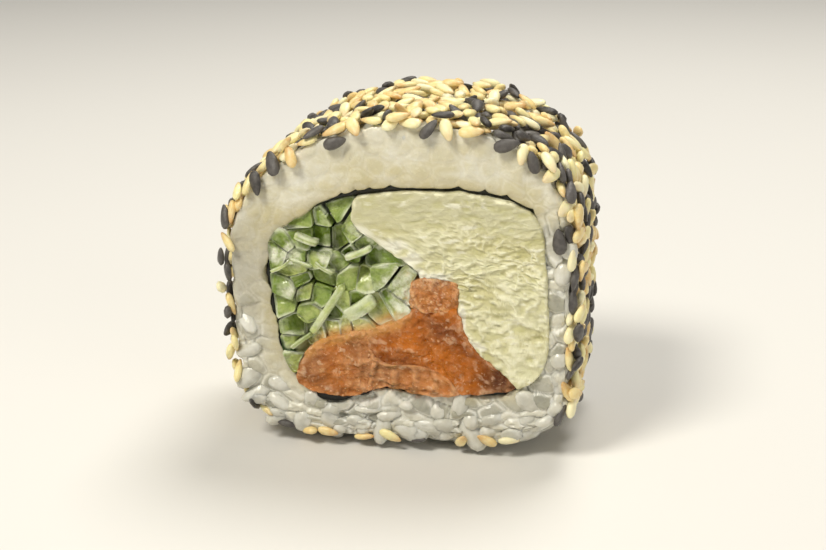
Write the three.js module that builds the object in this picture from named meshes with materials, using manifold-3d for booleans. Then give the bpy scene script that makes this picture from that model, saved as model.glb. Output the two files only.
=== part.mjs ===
// One cut piece of an uramaki roll, the inside-out kind of sushi roll: a wall of rice coated with sesame
// seeds, a thin seaweed sheet inside it, and a filling of cream cheese, cucumber strips and raw salmon that
// runs from one cut face to the other. Millimetres, +Z up. The roll's axis lies along Y, the front cut face
// looks along -Y, and the piece stands on the flat that the rolling mat pressed into it.
import * as THREE from "three";
import { ConvexGeometry } from "three/addons/geometries/ConvexGeometry.js";
import { mergeVertices } from "three/addons/utils/BufferGeometryUtils.js";
import Module from "manifold-3d";

const wasm = await Module();
wasm.setup();

// Driving dimensions.
const LENGTH = 25; // one eighth of a roll made on a seaweed sheet about 200 mm wide
const CLEARANCE = 0.16; // between neighbouring pieces
const SEAWEED_THICKNESS = 0.4;

// Outlines seen along the roll. Each is four quarters of superellipses round (x, z), in the order upper
// right, upper left, lower left, lower right, turned by tilt degrees. Squareness 2 is an ellipse, and more
// is squarer.
const RICE = {
  x: -0.2, z: 26.7, half: 21.4, up: 15.4, down: 27.2, squareness: [2.6, 1.8, 4.6, 5.6], tilt: 1.2,
};
const HOLLOW = {
  x: 0.8, z: 27.2, half: 17.6, up: 6.9, down: 19.8, squareness: [2.5, 1.9, 5.4, 7], tilt: 4.4,
};

// The filling drifts a little between the front face and the back face.
const DRIFT = { x: -0.9, z: 0.4 };

const FACE_Y = 12.35; // where the knife went
const RIM_RADIUS = 0.9;
const GRAIN_STEPS = 2; // grid steps that one rice grain spans round the piece
const GRAIN_HOLLOW = { onFace: 1, outside: 0.4 }; // how deep the surface dips between grains
const SCALLOP = { steps: 3, depth: 0.25 }; // hollows that grains leave along the seaweed
const EDGE_LIFT = { height: 1.75, from: 6.5, to: 11.5 }; // the underside rises towards both cut faces

const SEED = { length: 3.2, width: 1.8, thickness: 1.0, sizeSpread: 0.12, deepest: 0.32, shallowest: 0.12 };
const COAT = {
  spacing: 3.8, rows: 7, jitter: 0.8, edgeInset: 0.9, fromDegrees: -52, toDegrees: 236, flare: 0.3, tip: 0.25,
};
const UNDER_SEEDS = { from: -15, to: 17, spacing: 4, jitter: 0.6, z: 0.6, slope: 0.03, inset: 1.1, tip: 0.2 };

const STRIP = { spacing: 3.1, jitter: 0.3, gap: 0.3, lean: 0.9, endSpread: 0.35 };
const STRIP_CORE = { setback: 1.4, inset: 0.5 };

const AROUND_STEPS = 96; // a multiple of GRAIN_STEPS and of SCALLOP.steps
const SEAWEED_STEPS = 80;

// Zones of the filling on the cut face, as [x, z] points that a smooth closed curve runs through. They reach
// past the seaweed, which trims them.
const SALMON_ZONE = [
  [-13.2, 9.8], [-11.2, 13.2], [-8, 14.6], [-4.4, 15.7], [-0.4, 17], [1.9, 18.7], [1.8, 21.3],
  [4.6, 23.1], [7.5, 21.7], [7.6, 18.6], [9.3, 14.5], [11.7, 12.4], [14.4, 10.1], [14.4, 4], [0, 2], [-13, 4],
];
const CUCUMBER_ZONE = [
  [-5.7, 36], [-5.1, 29.4], [-2.4, 27.2], [-0.5, 25.2], [1.5, 22.4], [3, 19], [0, 14], [-8, 12],
  [-13, 9.6], [-20, 9], [-20, 22], [-16, 34],
];
const LOBE_CREASE = [[-4, 19.4], [1, 19.3], [4.6, 18.7], [8, 19.5], [12, 20]];
const STRIP_CREASE = [
  [-9, 20], [-4.2, 15.9], [-3.1, 12.7], [-1.2, 11.6], [2.4, 11.7], [5.8, 10.6], [8.2, 7.4], [9, 2],
];

const TURN = Math.PI * 2;
const { degToRad, smoothstep, clamp } = THREE.MathUtils;

// A repeatable value between 0 and 1 for whole numbers i, j and k.
function chance(i, j, k = 0) {
  const s = Math.sin(i * 127.1 + j * 311.7 + k * 74.7) * 43758.5453;
  return s - Math.floor(s);
}

const spread = (i, j, k) => 2 * chance(i, j, k) - 1; // the same, between -1 and 1

function outlinePoint(outline, angle, inset = 0) {
  const c = Math.cos(angle);
  const s = Math.sin(angle);
  const quarter = s >= 0 ? (c >= 0 ? 0 : 1) : c < 0 ? 2 : 3;
  const n = outline.squareness[quarter];
  const across = Math.abs(c / (outline.half - inset));
  const up = Math.abs(s / ((s >= 0 ? outline.up : outline.down) - inset));
  const r = (across ** n + up ** n) ** (-1 / n);
  const turned = angle + degToRad(outline.tilt);
  return new THREE.Vector2(outline.x + r * Math.cos(turned), outline.z + r * Math.sin(turned));
}

// Angles at which the outline's points lie evenly spaced along it.
function evenAngles(outline, count, from = 0, to = TURN) {
  const samples = Array.from({ length: 1441 }, (_, i) => from + ((to - from) * i) / 1440);
  const points = samples.map((angle) => outlinePoint(outline, angle));
  const walked = [0];
  for (let i = 1; i < points.length; i++) walked.push(walked[i - 1] + points[i].distanceTo(points[i - 1]));
  let i = 0;
  return Array.from({ length: count }, (_, k) => {
    while (walked[i] < (walked.at(-1) * k) / count) i++;
    return samples[i];
  });
}

function driftAt(y) {
  const t = y / LENGTH + 0.5;
  return new THREE.Vector2(DRIFT.x * t, DRIFT.z * t);
}

// A closed surface on a grid that wraps both ways, as a ring of any section does.
function ringGeometry(aroundSteps, sectionSteps, pointAt) {
  const positions = [];
  const index = [];
  for (let i = 0; i < aroundSteps; i++)
    for (let j = 0; j < sectionSteps; j++) {
      positions.push(...pointAt(i, j));
      const a = i * sectionSteps + j;
      const b = ((i + 1) % aroundSteps) * sectionSteps + j;
      const next = ((j + 1) % sectionSteps) - j;
      index.push(a, a + next, b, b, a + next, b + next);
    }
  const geometry = new THREE.BufferGeometry();
  geometry.setAttribute("position", new THREE.Float32BufferAttribute(positions, 3));
  geometry.setIndex(index);
  return geometry;
}

function toSolid(geometry) {
  const bare = geometry.clone();
  bare.deleteAttribute("normal");
  bare.deleteAttribute("uv");
  const merged = mergeVertices(bare, 1e-4);
  const mesh = new wasm.Mesh({
    numProp: 3,
    vertProperties: new Float32Array(merged.attributes.position.array),
    triVerts: new Uint32Array(merged.index.array),
  });
  return new wasm.Manifold(mesh);
}

// The solid's main body: loose scraps are dropped, and so are hollows that joining its pieces sealed.
function toGeometry(solid) {
  const bodies = solid.simplify(0.015).decompose();
  const mesh = bodies.sort((a, b) => b.volume() - a.volume())[0].getMesh();
  const geometry = new THREE.BufferGeometry();
  geometry.setAttribute("position", new THREE.BufferAttribute(mesh.vertProperties, 3));
  geometry.setIndex(new THREE.BufferAttribute(mesh.triVerts, 1));
  return geometry;
}

// An outline's points extruded along the roll, sheared by the filling's drift.
function prism(points, length) {
  const shape = new THREE.Shape(points);
  const geometry = new THREE.ExtrudeGeometry(shape, { depth: length, bevelEnabled: false });
  geometry.rotateX(Math.PI / 2);
  geometry.translate(0, length / 2, 0);
  const shear = new THREE.Matrix4();
  shear.elements[4] = DRIFT.x / LENGTH;
  shear.elements[6] = DRIFT.z / LENGTH;
  geometry.applyMatrix4(shear);
  geometry.translate(DRIFT.x / 2, 0, DRIFT.z / 2);
  return toSolid(geometry);
}

const THROUGH = LENGTH + 2; // long enough to cut right through the filling

function closedCurve(points, count) {
  const corners = points.map(([x, z]) => new THREE.Vector3(x, z, 0));
  const curve = new THREE.CatmullRomCurve3(corners, true);
  return curve.getPoints(count).slice(0, -1).map((p) => new THREE.Vector2(p.x, p.y));
}

// Moves each point of a closed outline out along its own normal.
function grow(points, distance) {
  const turn = Math.sign(THREE.ShapeUtils.area(points));
  return points.map((p, i) => {
    const before = points.at(i - 1);
    const after = points[(i + 1) % points.length];
    const along = after.clone().sub(before).normalize();
    return new THREE.Vector2(p.x + turn * distance * along.y, p.y - turn * distance * along.x);
  });
}

// How far the grains stand apart on the cut faces: loose below and on the right, where the knife dragged,
// and smeared flat over the top and the left.
function looseness(x, z) {
  const below = 1 - smoothstep(z, 7, 13);
  const right = smoothstep(x, 14, 17.5) * (1 - smoothstep(z, 27, 33));
  return 0.12 + 0.88 * Math.max(below, right);
}

// Height between 0 and 1 of grain number n in a row, at a grid step across it.
const GRAIN_SECTION = [0.1, 1];

function grainHeight(i, row) {
  const step = i + row;
  return GRAIN_SECTION[step % GRAIN_STEPS] * (0.75 + 0.25 * chance(Math.floor(step / GRAIN_STEPS), row, 1));
}

// The rice wall's section: where each grid row lies across the wall, from the seaweed at 0 to the outside at
// 1, and along the roll. Two rows of grains show on each cut face.
function wallStations() {
  const face = [[0, 0], [0.22, 1], [0.46, 0], [0.7, 1], [0.93, 0.5]];
  const outside = [-1, -0.5, 0, 0.5, 1];
  const rimY = FACE_Y - RIM_RADIUS;
  return [
    ...face.map(([across, crest]) => ({ across, crest, y: -FACE_Y })),
    ...outside.map((t) => ({ across: 1, y: t * rimY })),
    ...face.toReversed().map(([across, crest]) => ({ across, crest, y: FACE_Y })),
  ];
}

function riceWall() {
  const stations = wallStations();
  const innerAngles = evenAngles(HOLLOW, AROUND_STEPS);
  const outerAngles = evenAngles(RICE, AROUND_STEPS);
  return ringGeometry(AROUND_STEPS, stations.length, (i, j) => {
    const { across, crest, y } = stations[j];
    const hollow = i % SCALLOP.steps ? 0 : SCALLOP.depth;
    const inner = outlinePoint(HOLLOW, innerAngles[i], -hollow).add(driftAt(y));
    const outer = outlinePoint(RICE, outerAngles[i]);
    const p = inner.clone().lerp(outer, across);
    let dip = 0;
    if (crest === undefined) {
      const radial = outer.clone().sub(inner).normalize();
      p.addScaledVector(radial, -GRAIN_HOLLOW.outside * chance(i, j, 7));
    } else {
      const height = crest * grainHeight(i, across < 0.5 ? 0 : 1);
      dip = across > 0 ? GRAIN_HOLLOW.onFace * looseness(p.x, p.y) * (1 - height) : 0.1;
    }
    const underside = (1 - smoothstep(p.y, 1.5, 7)) * smoothstep(across, 0.2, 1);
    p.y += EDGE_LIFT.height * underside * smoothstep(Math.abs(y), EDGE_LIFT.from, EDGE_LIFT.to);
    return [p.x, y - Math.sign(y) * dip, p.y];
  });
}

// One sesame seed lying flat with its length along X, pointed at one end.
function seedGeometry(scale) {
  const { length, width, thickness } = SEED;
  const corners = [
    [0.5, 0, 0], [0.22, 0.42, 0], [0.22, -0.42, 0], [-0.26, 0.5, 0], [-0.26, -0.5, 0], [-0.5, 0, 0],
    [0.18, 0, 0.5], [-0.24, 0, 0.5], [0, 0, -0.6],
  ];
  const points = corners.map(([x, y, z]) => new THREE.Vector3(x * length, y * width, z * thickness));
  return new ConvexGeometry(points.map((p) => p.multiplyScalar(scale)));
}

// A seed laid on a surface with the given outward normal, turned in its plane and tipped a little.
function laidSeed(place, normal, turn, tip, scale) {
  const flat = new THREE.Quaternion().setFromUnitVectors(new THREE.Vector3(0, 0, 1), normal);
  const pose = new THREE.Quaternion().setFromEuler(new THREE.Euler(tip, 0, turn, "ZXY"));
  return toSolid(seedGeometry(scale).applyQuaternion(flat.multiply(pose)).translate(...place));
}

// The seeds that coat the top and the sides, in staggered rows along the roll.
function coatSeeds() {
  const from = degToRad(COAT.fromDegrees);
  const to = degToRad(COAT.toDegrees);
  const arc = evenAngles(RICE, 400, from, to).map((angle) => outlinePoint(RICE, angle));
  const arcLength = arc.reduce((sum, p, i) => sum + (i ? p.distanceTo(arc[i - 1]) : 0), 0);
  const count = Math.floor(arcLength / COAT.spacing);
  const reach = LENGTH / 2 - COAT.edgeInset;
  const seeds = [];
  for (let row = 0; row < COAT.rows; row++)
    for (let i = 0; i < count; i++) {
      const stagger = row % 2 ? 0.5 : 0;
      const t = (i + 0.3 + stagger + (0.5 * COAT.jitter * spread(row, i, 3)) / COAT.spacing) / count;
      const k = clamp(Math.round(t * arc.length), 1, arc.length - 1);
      const along = arc[k].clone().sub(arc[k - 1]).normalize();
      const sunk = THREE.MathUtils.lerp(SEED.shallowest, SEED.deepest, chance(row, i, 6));
      const height = (0.5 - sunk) * SEED.thickness - 0.5 * GRAIN_HOLLOW.outside;
      const rowY = reach * ((2 * row) / (COAT.rows - 1) - 1);
      const y = clamp(rowY + COAT.jitter * spread(row, i, 4), -reach, reach);
      const flare = COAT.flare * Math.sign(y) * smoothstep(Math.abs(y), 9, 12);
      const normal = new THREE.Vector3(along.y, flare + COAT.tip * spread(row, i, 9), -along.x);
      const place = [arc[k].x + along.y * height, y, arc[k].y - along.x * height];
      const turn = TURN * chance(row, i, 7);
      const tip = COAT.tip * spread(row, i, 8);
      const scale = 1 + SEED.sizeSpread * spread(row, i, 5);
      seeds.push(laidSeed(place, normal.normalize(), turn, tip, scale));
    }
  return seeds;
}

// Seeds pressed under the lifted front and back edges of the underside.
function underSeeds() {
  const seeds = [];
  const down = new THREE.Vector3(0, 0, -1);
  for (const side of [-1, 1])
    for (let i = 0, x = UNDER_SEEDS.from; x <= UNDER_SEEDS.to; i++, x += UNDER_SEEDS.spacing) {
      const y = side * (LENGTH / 2 - UNDER_SEEDS.inset - UNDER_SEEDS.jitter * chance(i, side, 11));
      const z = UNDER_SEEDS.z + UNDER_SEEDS.slope * (x - UNDER_SEEDS.from);
      const place = [x + UNDER_SEEDS.jitter * spread(i, side, 12), y, z];
      const tip = UNDER_SEEDS.tip * spread(i, side, 14);
      seeds.push(laidSeed(place, down, TURN * chance(i, side, 13), tip, 1));
    }
  return seeds;
}

function riceWithSesame() {
  const table = toSolid(new THREE.BoxGeometry(80, 80, 10).translate(0, 0, -5));
  const coated = wasm.Manifold.union([toSolid(riceWall()), ...coatSeeds(), ...underSeeds()]);
  return toGeometry(coated.subtract(table));
}

function seaweedSheet() {
  const reach = FACE_Y - 0.4;
  const section = [
    [CLEARANCE + SEAWEED_THICKNESS, -reach],
    [CLEARANCE, -reach],
    [CLEARANCE, reach],
    [CLEARANCE + SEAWEED_THICKNESS, reach],
  ];
  const angles = evenAngles(HOLLOW, SEAWEED_STEPS);
  return ringGeometry(SEAWEED_STEPS, section.length, (i, j) => {
    const [inset, y] = section[j];
    const p = outlinePoint(HOLLOW, angles[i], inset).add(driftAt(y));
    return [p.x, y, p.y];
  });
}

// Everything that the seaweed holds, shared out between the zones.
const FILLING_INSET = 2 * CLEARANCE + SEAWEED_THICKNESS;
const fillingOutline = evenAngles(HOLLOW, 72).map((angle) => outlinePoint(HOLLOW, angle, FILLING_INSET));
const filling = prism(fillingOutline, 2 * FACE_Y - 0.2);
const salmonCurve = closedCurve(SALMON_ZONE, 64);
const cucumberCurve = closedCurve(CUCUMBER_ZONE, 40);
const salmon = filling.intersect(prism(salmonCurve, THROUGH));
const filledBesideSalmon = filling.subtract(prism(grow(salmonCurve, CLEARANCE), THROUGH));

// The part of a strip's outline that lies nearer to its own middle than to a neighbour's, less half a gap.
function nearerHalf(outline, middle, neighbour) {
  const away = neighbour.clone().sub(middle);
  const limit = (away.length() - STRIP.gap) / 2;
  away.normalize();
  const depth = (p) => limit - away.dot(p.clone().sub(middle));
  return outline.flatMap((p, i) => {
    const q = outline[(i + 1) % outline.length];
    const kept = depth(p) >= 0 ? [p] : [];
    if (depth(p) * depth(q) < 0) kept.push(p.clone().lerp(q, depth(p) / (depth(p) - depth(q))));
    return kept;
  });
}

// Cucumber cut into sticks, packed side by side: each takes the room round its own middle.
function cucumberSticks() {
  const room = new THREE.Box2().setFromPoints(cucumberCurve);
  const middles = [];
  for (let j = 0; room.min.y + j * STRIP.spacing < room.max.y + STRIP.spacing; j++)
    for (let i = 0; room.min.x + i * STRIP.spacing < room.max.x + STRIP.spacing; i++) {
      const x = i + (j % 2 ? 0.5 : 0) + STRIP.jitter * spread(i, j, 28);
      const z = j + STRIP.jitter * spread(i, j, 29);
      middles.push(new THREE.Vector2(x, z).multiplyScalar(STRIP.spacing).add(room.min));
    }
  return middles.map((middle, n) => {
    const square = [[-1, -1], [1, -1], [1, 1], [-1, 1]].map(([x, z]) => new THREE.Vector2(x, z));
    const start = square.map((corner) => corner.multiplyScalar(STRIP.spacing).add(middle));
    const near = (other) => other !== middle && other.distanceTo(middle) < 3 * STRIP.spacing;
    const outline = middles.filter(near).reduce((left, other) => nearerHalf(left, middle, other), start);
    const lean = new THREE.Matrix4();
    lean.elements[4] = (STRIP.lean / LENGTH) * spread(n, 0, 26);
    lean.elements[6] = (STRIP.lean / LENGTH) * spread(n, 0, 27);
    return prism(outline, 2 * (FACE_Y - STRIP.endSpread * (0.6 + chance(n, 0, 25)))).transform(lean.elements);
  });
}

function cucumberBundle() {
  const core = prism(grow(cucumberCurve, -STRIP_CORE.inset), 2 * (FACE_Y - STRIP_CORE.setback));
  const room = filledBesideSalmon.intersect(prism(cucumberCurve, THROUGH));
  return toGeometry(wasm.Manifold.union([core, ...cucumberSticks()]).intersect(room));
}

function creamCheese() {
  return toGeometry(filledBesideSalmon.subtract(prism(grow(cucumberCurve, CLEARANCE), THROUGH)));
}

// The part of the salmon above a crease, or right of it where it is steep, and the part on its other side.
function splitSalmon(piece, crease) {
  const curve = new THREE.SplineCurve(crease.map(([x, z]) => new THREE.Vector2(x, z)));
  const line = curve.getPoints(24);
  const far = [[40, line.at(-1).y], [40, 50], [line[0].x, 50]].map(([x, z]) => new THREE.Vector2(x, z));
  const above = [...line, ...far];
  return [
    piece.intersect(prism(grow(above, -CLEARANCE / 2), THROUGH)),
    piece.subtract(prism(grow(above, CLEARANCE / 2), THROUGH)),
  ];
}

const [salmonLobe, salmonBelowLobe] = splitSalmon(salmon, LOBE_CREASE);
const [salmonMain, salmonLower] = splitSalmon(salmonBelowLobe, STRIP_CREASE);

const finish = (color, roughness) => new THREE.MeshStandardMaterial({ color, roughness, metalness: 0 });

const PIECES = [
  ["rice_with_sesame", riceWithSesame(), finish(0xe6e2d6, 0.45)],
  ["seaweed_sheet", seaweedSheet(), finish(0x14180f, 0.6)],
  ["cream_cheese", creamCheese(), finish(0xe9e4c3, 0.5)],
  ["cucumber_strips", cucumberBundle(), finish(0x9dbb6e, 0.35)],
  ["salmon_top_lobe", toGeometry(salmonLobe), finish(0xe08a66, 0.35)],
  ["salmon_main_strip", toGeometry(salmonMain), finish(0xd4692c, 0.35)],
  ["salmon_lower_strip", toGeometry(salmonLower), finish(0xd9783f, 0.35)],
];

const part = new THREE.Group();
for (const [name, geometry, material] of PIECES) {
  const mesh = new THREE.Mesh(geometry, material);
  mesh.name = name;
  part.add(mesh);
}

// The origin is the middle of the piece's underside.
const bounds = new THREE.Box3().setFromObject(part);
const middle = bounds.getCenter(new THREE.Vector3());
part.position.set(-middle.x, -middle.y, -bounds.min.z);

export default part;
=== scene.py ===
"""The looks of one cut piece of an uramaki roll: rice and sesame outside, seaweed, cream cheese, cucumber
sticks and raw salmon inside. Shapes are worked out in millimetres in the drawing frame of the piece, where
the roll's axis is Y, the front cut face looks along -Y and the table is at z = 0."""

import math

import bpy
import numpy as np
from bpy.props import FloatProperty, FloatVectorProperty, PointerProperty
from bpy.types import Operator, Panel, PropertyGroup
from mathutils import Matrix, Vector


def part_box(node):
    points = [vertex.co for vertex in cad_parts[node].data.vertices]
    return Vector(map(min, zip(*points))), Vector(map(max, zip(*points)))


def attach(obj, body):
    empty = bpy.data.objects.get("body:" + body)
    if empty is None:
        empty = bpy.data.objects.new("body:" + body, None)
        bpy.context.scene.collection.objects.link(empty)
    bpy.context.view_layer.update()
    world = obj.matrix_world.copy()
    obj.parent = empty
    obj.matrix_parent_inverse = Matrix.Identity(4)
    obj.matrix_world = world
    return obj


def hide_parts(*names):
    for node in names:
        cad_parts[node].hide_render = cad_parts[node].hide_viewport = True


bl_info = {
    "name": "Uramaki Piece",
    "version": (1, 0, 0),
    "blender": (4, 5, 0),
    "location": "3D View > Sidebar > Uramaki",
    "description": "Makes the rice, sesame, seaweed and filling of one cut piece of an inside-out sushi roll",
    "category": "Add Mesh",
}

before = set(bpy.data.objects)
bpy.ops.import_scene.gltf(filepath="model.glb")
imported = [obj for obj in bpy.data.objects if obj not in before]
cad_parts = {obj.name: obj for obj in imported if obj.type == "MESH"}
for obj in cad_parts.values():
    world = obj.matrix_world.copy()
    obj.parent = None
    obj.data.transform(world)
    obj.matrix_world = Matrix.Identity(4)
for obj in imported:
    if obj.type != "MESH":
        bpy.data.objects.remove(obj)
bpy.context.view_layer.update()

MM = 0.001
TURN = 2 * math.pi
OUTLINE_STEPS = 2881  # points round an outline where the way along it is measured

LENGTH = 25.0
FACE_Y = 12.35  # where the cut faces lie, in front and behind

# The piece's own outlines, seen along the roll: four quarters of superellipses round (x, z), in the order
# upper right, upper left, lower left, lower right, turned by tilt degrees.
RICE = {
    "x": -0.2, "z": 26.7, "half": 21.4, "up": 15.4, "down": 27.2,
    "squareness": (2.6, 1.8, 4.6, 5.6), "tilt": 1.2,
}
HOLLOW = {
    "x": 0.8, "z": 27.2, "half": 17.6, "up": 6.9, "down": 19.8,
    "squareness": (2.5, 1.9, 5.4, 7.0), "tilt": 4.4,
}
DRIFT = (-0.9, 0.4)  # how far the filling drifts in x and z from the front face to the back face

# Finer sizes of the same pieces.
SEAWEED_THICKNESS = 0.4
SEAWEED_SET_BACK = 0.4  # how far the solid sheet's edge lies behind each cut face
BAND_SET_BACK = 0.85  # the same for the drawn band, before its edge is drawn out or in
BAND_INSETS = (0.05, 0.42)  # how far the drawn band's outer and inner face lie inside the hollow
CLEARANCE = 0.16
RIM_RADIUS = 1.1
SKIN = 0.35  # how far the rice's own surface lies inside the outline, which the seeds reach
EDGE_LIFT = {"height": 1.75, "start": 6.5, "end": 11.5, "full_below": 1.5, "none_above": 7}
CUT_GRAIN = (2.75, 2.15)  # width and height of the cell of one grain on a cut face
COAT_GRAINS_ROUND = 40  # cells of grains round the outside
COAT_GRAIN_DEPTH = 2.5  # a cell's size along the roll
SEED_ROOM = (22.9, 13.5, 44.1)  # half width, half length and height that no seed passes
BLACK_CLUSTER = {"x": 14, "z": 38, "squared_width": 40}  # where black seeds gather on the front half
FILLING_SET_BACK = 0.1  # how far the middle of a filling's relief lies behind each cut face
STICK_SET_BACK = 0.05
STICK_ROUNDING = 0.09
STICK_CORNER_POWER = 22  # the higher, the sharper a stick's corners
FAR = 99  # farther than anything on the piece

# Zones of the filling, as points that a smooth closed curve runs through.
SALMON_ZONE = (
    (-12.8, 9.3), (-11.2, 13), (-8, 14.6), (-4.4, 15.7), (-0.4, 17), (1.8, 18.7), (1.6, 20.6), (1.9, 22.4),
    (3.4, 22.9), (5.6, 23), (7.3, 22.3), (7.6, 20.4), (7.6, 18.4), (9.3, 14.5), (11.7, 12.4), (14.5, 9.6),
    (11.2, 8.6), (8.4, 8.3), (5.6, 7.8), (2.8, 8.0), (0.6, 8.4), (-1.3, 8.7), (-3.7, 7.9), (-6.2, 7.0),
    (-8.4, 6.6), (-10.6, 6.7), (-12.2, 7.4),
)
CUCUMBER_ZONE = (
    (-5.6, 36), (-5.5, 31.5), (-5.9, 29.9), (-4.7, 28.3), (-1.9, 26.6), (0.5, 25.2), (2.5, 23.5), (3.2, 19),
    (0, 14), (-8, 12), (-13, 9.6), (-20, 9), (-20, 22), (-16, 34),
)
LOBE_CREASE = ((-4, 19.4), (1, 19.3), (4.6, 18.7), (8, 19.5), (12, 20))
STRIP_CREASE = (
    (-9, 20), (-4.2, 15.9), (-3.1, 12.7), (-1.2, 11.6), (2.4, 11.7), (5.8, 10.6), (8.2, 7.4), (9, 2),
)

# The camera stands where the photograph's stood, seen from the piece, and looks at the piece's middle.
CAMERA_PLACE = (34.7, -184.1, 77.8)
CAMERA_TARGET = (0.8, -6.0, 21.4)
CAMERA_LENS = 66.0


def srgb(*channels):
    """Scene colour of three display values from 0 to 255."""
    shares = [c / 255 for c in channels]
    return tuple(s / 12.92 if s <= 0.04045 else ((s + 0.055) / 1.055) ** 2.4 for s in shares)


def length_property(name, description, default):
    """A size of the piece in metres, shown in the scene's units."""
    return FloatProperty(
        name=name, description=description, default=default, min=0, unit="LENGTH", precision=5
    )


def colour_property(name, description, default):
    """A colour of the piece, picked in the panel."""
    return FloatVectorProperty(
        name=name, description=description, default=default, subtype="COLOR", size=3, min=0, max=1
    )


class UramakiSizes(PropertyGroup):
    """Sizes of what the piece is made of."""

    grain_length: length_property("Grain Length", "Length of a cooked rice grain", 0.0048)
    grain_width: length_property("Grain Width", "Width of a cooked rice grain", 0.0026)
    grain_relief: length_property("Grain Relief", "Depth between the grains of the cut face", 0.0010)
    seed_length: length_property("Seed Length", "Length of a sesame seed", 0.0031)
    seed_width: length_property("Seed Width", "Width of a sesame seed", 0.00158)
    seed_thickness: length_property("Seed Thickness", "Thickness of a sesame seed", 0.00095)
    seed_spacing: length_property("Seed Spacing", "Least distance between two seeds' middles", 0.00108)
    black_share: FloatProperty(
        name="Black Share",
        description="Share of the seeds that are black",
        default=0.36,
        min=0,
        max=1,
        subtype="FACTOR",
    )
    strip_spacing: length_property("Stick Spacing", "Distance between cucumber sticks", 0.00236)
    strip_gap: length_property("Stick Clearance", "Space between cucumber sticks", 0.00014)


class UramakiColours(PropertyGroup):
    """Colours of what the piece is made of."""

    rice_smooth: colour_property("Smooth Rice", "Rice that the knife smeared", srgb(203, 193, 151))
    rice_film: colour_property("Rice Film", "Whiter film on the smeared rice", srgb(221, 218, 203))
    rice_clear: colour_property("Clear Rice", "Rice grains that light passes through", srgb(158, 157, 144))
    rice_milky: colour_property("Milky Rice", "Rice grains that scatter light", srgb(213, 210, 196))
    sesame_pale: colour_property("Pale Sesame", "Lightly toasted seeds", srgb(250, 238, 174))
    sesame_toasted: colour_property("Toasted Sesame", "Darker toasted seeds", srgb(234, 197, 126))
    sesame_black: colour_property("Black Sesame", "Black seeds", srgb(88, 84, 82))
    seaweed: colour_property("Seaweed", "Seaweed sheet", srgb(26, 28, 20))
    cheese: colour_property("Cream Cheese", "Body of the cream cheese", srgb(209, 203, 153))
    # painted shade in the hollows of the cheese's relief
    cheese_furrow_shade: colour_property("Cheese Furrows", "Hollows of the cream cheese", srgb(190, 186, 124))
    # paler torn cheese on the crests, partly a painted highlight
    cheese_peak_highlight: colour_property("Cheese Peaks", "Torn crests of the cream cheese", srgb(242, 239, 206))
    cucumber_flesh: colour_property("Cucumber Flesh", "Green flesh of the sticks", srgb(120, 146, 46))
    cucumber_light: colour_property("Light Cucumber", "Lighter flesh of some sticks", srgb(202, 211, 132))
    # pale wet edges of the sticks, partly a painted highlight
    cucumber_pale_edge_highlight: colour_property("Cucumber Edges", "Pale wet edges of the sticks", srgb(224, 230, 200))
    cucumber_skin: colour_property("Cucumber Skin", "Dark skin of the sticks", srgb(44, 70, 22))
    salmon_dark: colour_property("Salmon", "Deep orange of the salmon", srgb(128, 60, 0))
    salmon_bright: colour_property("Bright Salmon", "Brighter orange of the salmon", srgb(196, 106, 0))
    salmon_light: colour_property("Pale Salmon", "Paler bands of the salmon", srgb(198, 144, 92))
    floor: colour_property("Floor", "Plain pale floor", srgb(226, 224, 220))


# Arithmetic shared by the pieces.


def lattice_value(i, j, seed, wrap=0):
    """A fixed random value from 0 to 1 for each whole-numbered place i, j, from a mix of their bits. With
    wrap, place i and place i + wrap have the same value."""
    i = np.asarray(i, np.int64)
    j = np.asarray(j, np.int64)
    if wrap:
        i = i % wrap
    mask = 0xFFFFFFFF
    h = ((i * 73856093) ^ (j * 19349663) ^ (np.int64(seed) * 83492791)) & mask
    for _ in range(3):
        h = ((h ^ (h >> 15)) * 73244475) & mask
    return (h ^ (h >> 16)) / 4294967296.0


def smooth_noise(a, b, seed, wrap=0):
    """Value noise from 0 to 1: random values on a unit lattice, blended across each cell by a curve that is
    flat at both of its ends."""
    i, j = np.floor(a).astype(np.int64), np.floor(b).astype(np.int64)
    u, v = a - i, b - j
    u, v = u * u * (3 - 2 * u), v * v * (3 - 2 * v)
    near = lattice_value(i, j, seed, wrap) * (1 - u) + lattice_value(i + 1, j, seed, wrap) * u
    far = lattice_value(i, j + 1, seed, wrap) * (1 - u) + lattice_value(i + 1, j + 1, seed, wrap) * u
    return near * (1 - v) + far * v


def layered_noise(a, b, octaves, seed, wrap=0):
    """Sum of noises, each twice as fine and half as strong as the one before, scaled back to 0 to 1."""
    total, strength = 0.0, 0.0
    for o in range(octaves):
        share = 0.5**o
        total = total + share * smooth_noise(a * 2**o, b * 2**o, seed + 17 * o, wrap * 2**o)
        strength += share
    return total / strength


def ramp(value, low, high):
    """0 below low, 1 above high, and a smooth step between."""
    t = np.clip((value - low) / (high - low), 0, 1)
    return t * t * (3 - 2 * t)


def outline_point(outline, angle, inset=0.0):
    """Points of an outline: at each angle the radius r solves |cos/half|^n + |sin/up|^n = r^-n, with its
    own n and height in each quarter, and the whole is turned by tilt."""
    c, s = np.cos(angle), np.sin(angle)
    quarter = np.where(s >= 0, np.where(c >= 0, 0, 1), np.where(c < 0, 2, 3))
    n = np.asarray(outline["squareness"])[quarter]
    up = np.where(s >= 0, outline["up"], outline["down"]) - inset
    r = (np.abs(c / (outline["half"] - inset)) ** n + np.abs(s / up) ** n) ** (-1 / n)
    turned = angle + math.radians(outline["tilt"])
    return outline["x"] + r * np.cos(turned), outline["z"] + r * np.sin(turned)


def room_inside(outline, x, z):
    """How far a point lies inside an outline, measured along the ray from the outline's middle."""
    angle = np.arctan2(z - outline["z"], x - outline["x"]) - math.radians(outline["tilt"])
    edge_x, edge_z = outline_point(outline, angle)
    reach = np.hypot(edge_x - outline["x"], edge_z - outline["z"])
    return reach - np.hypot(x - outline["x"], z - outline["z"])


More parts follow.
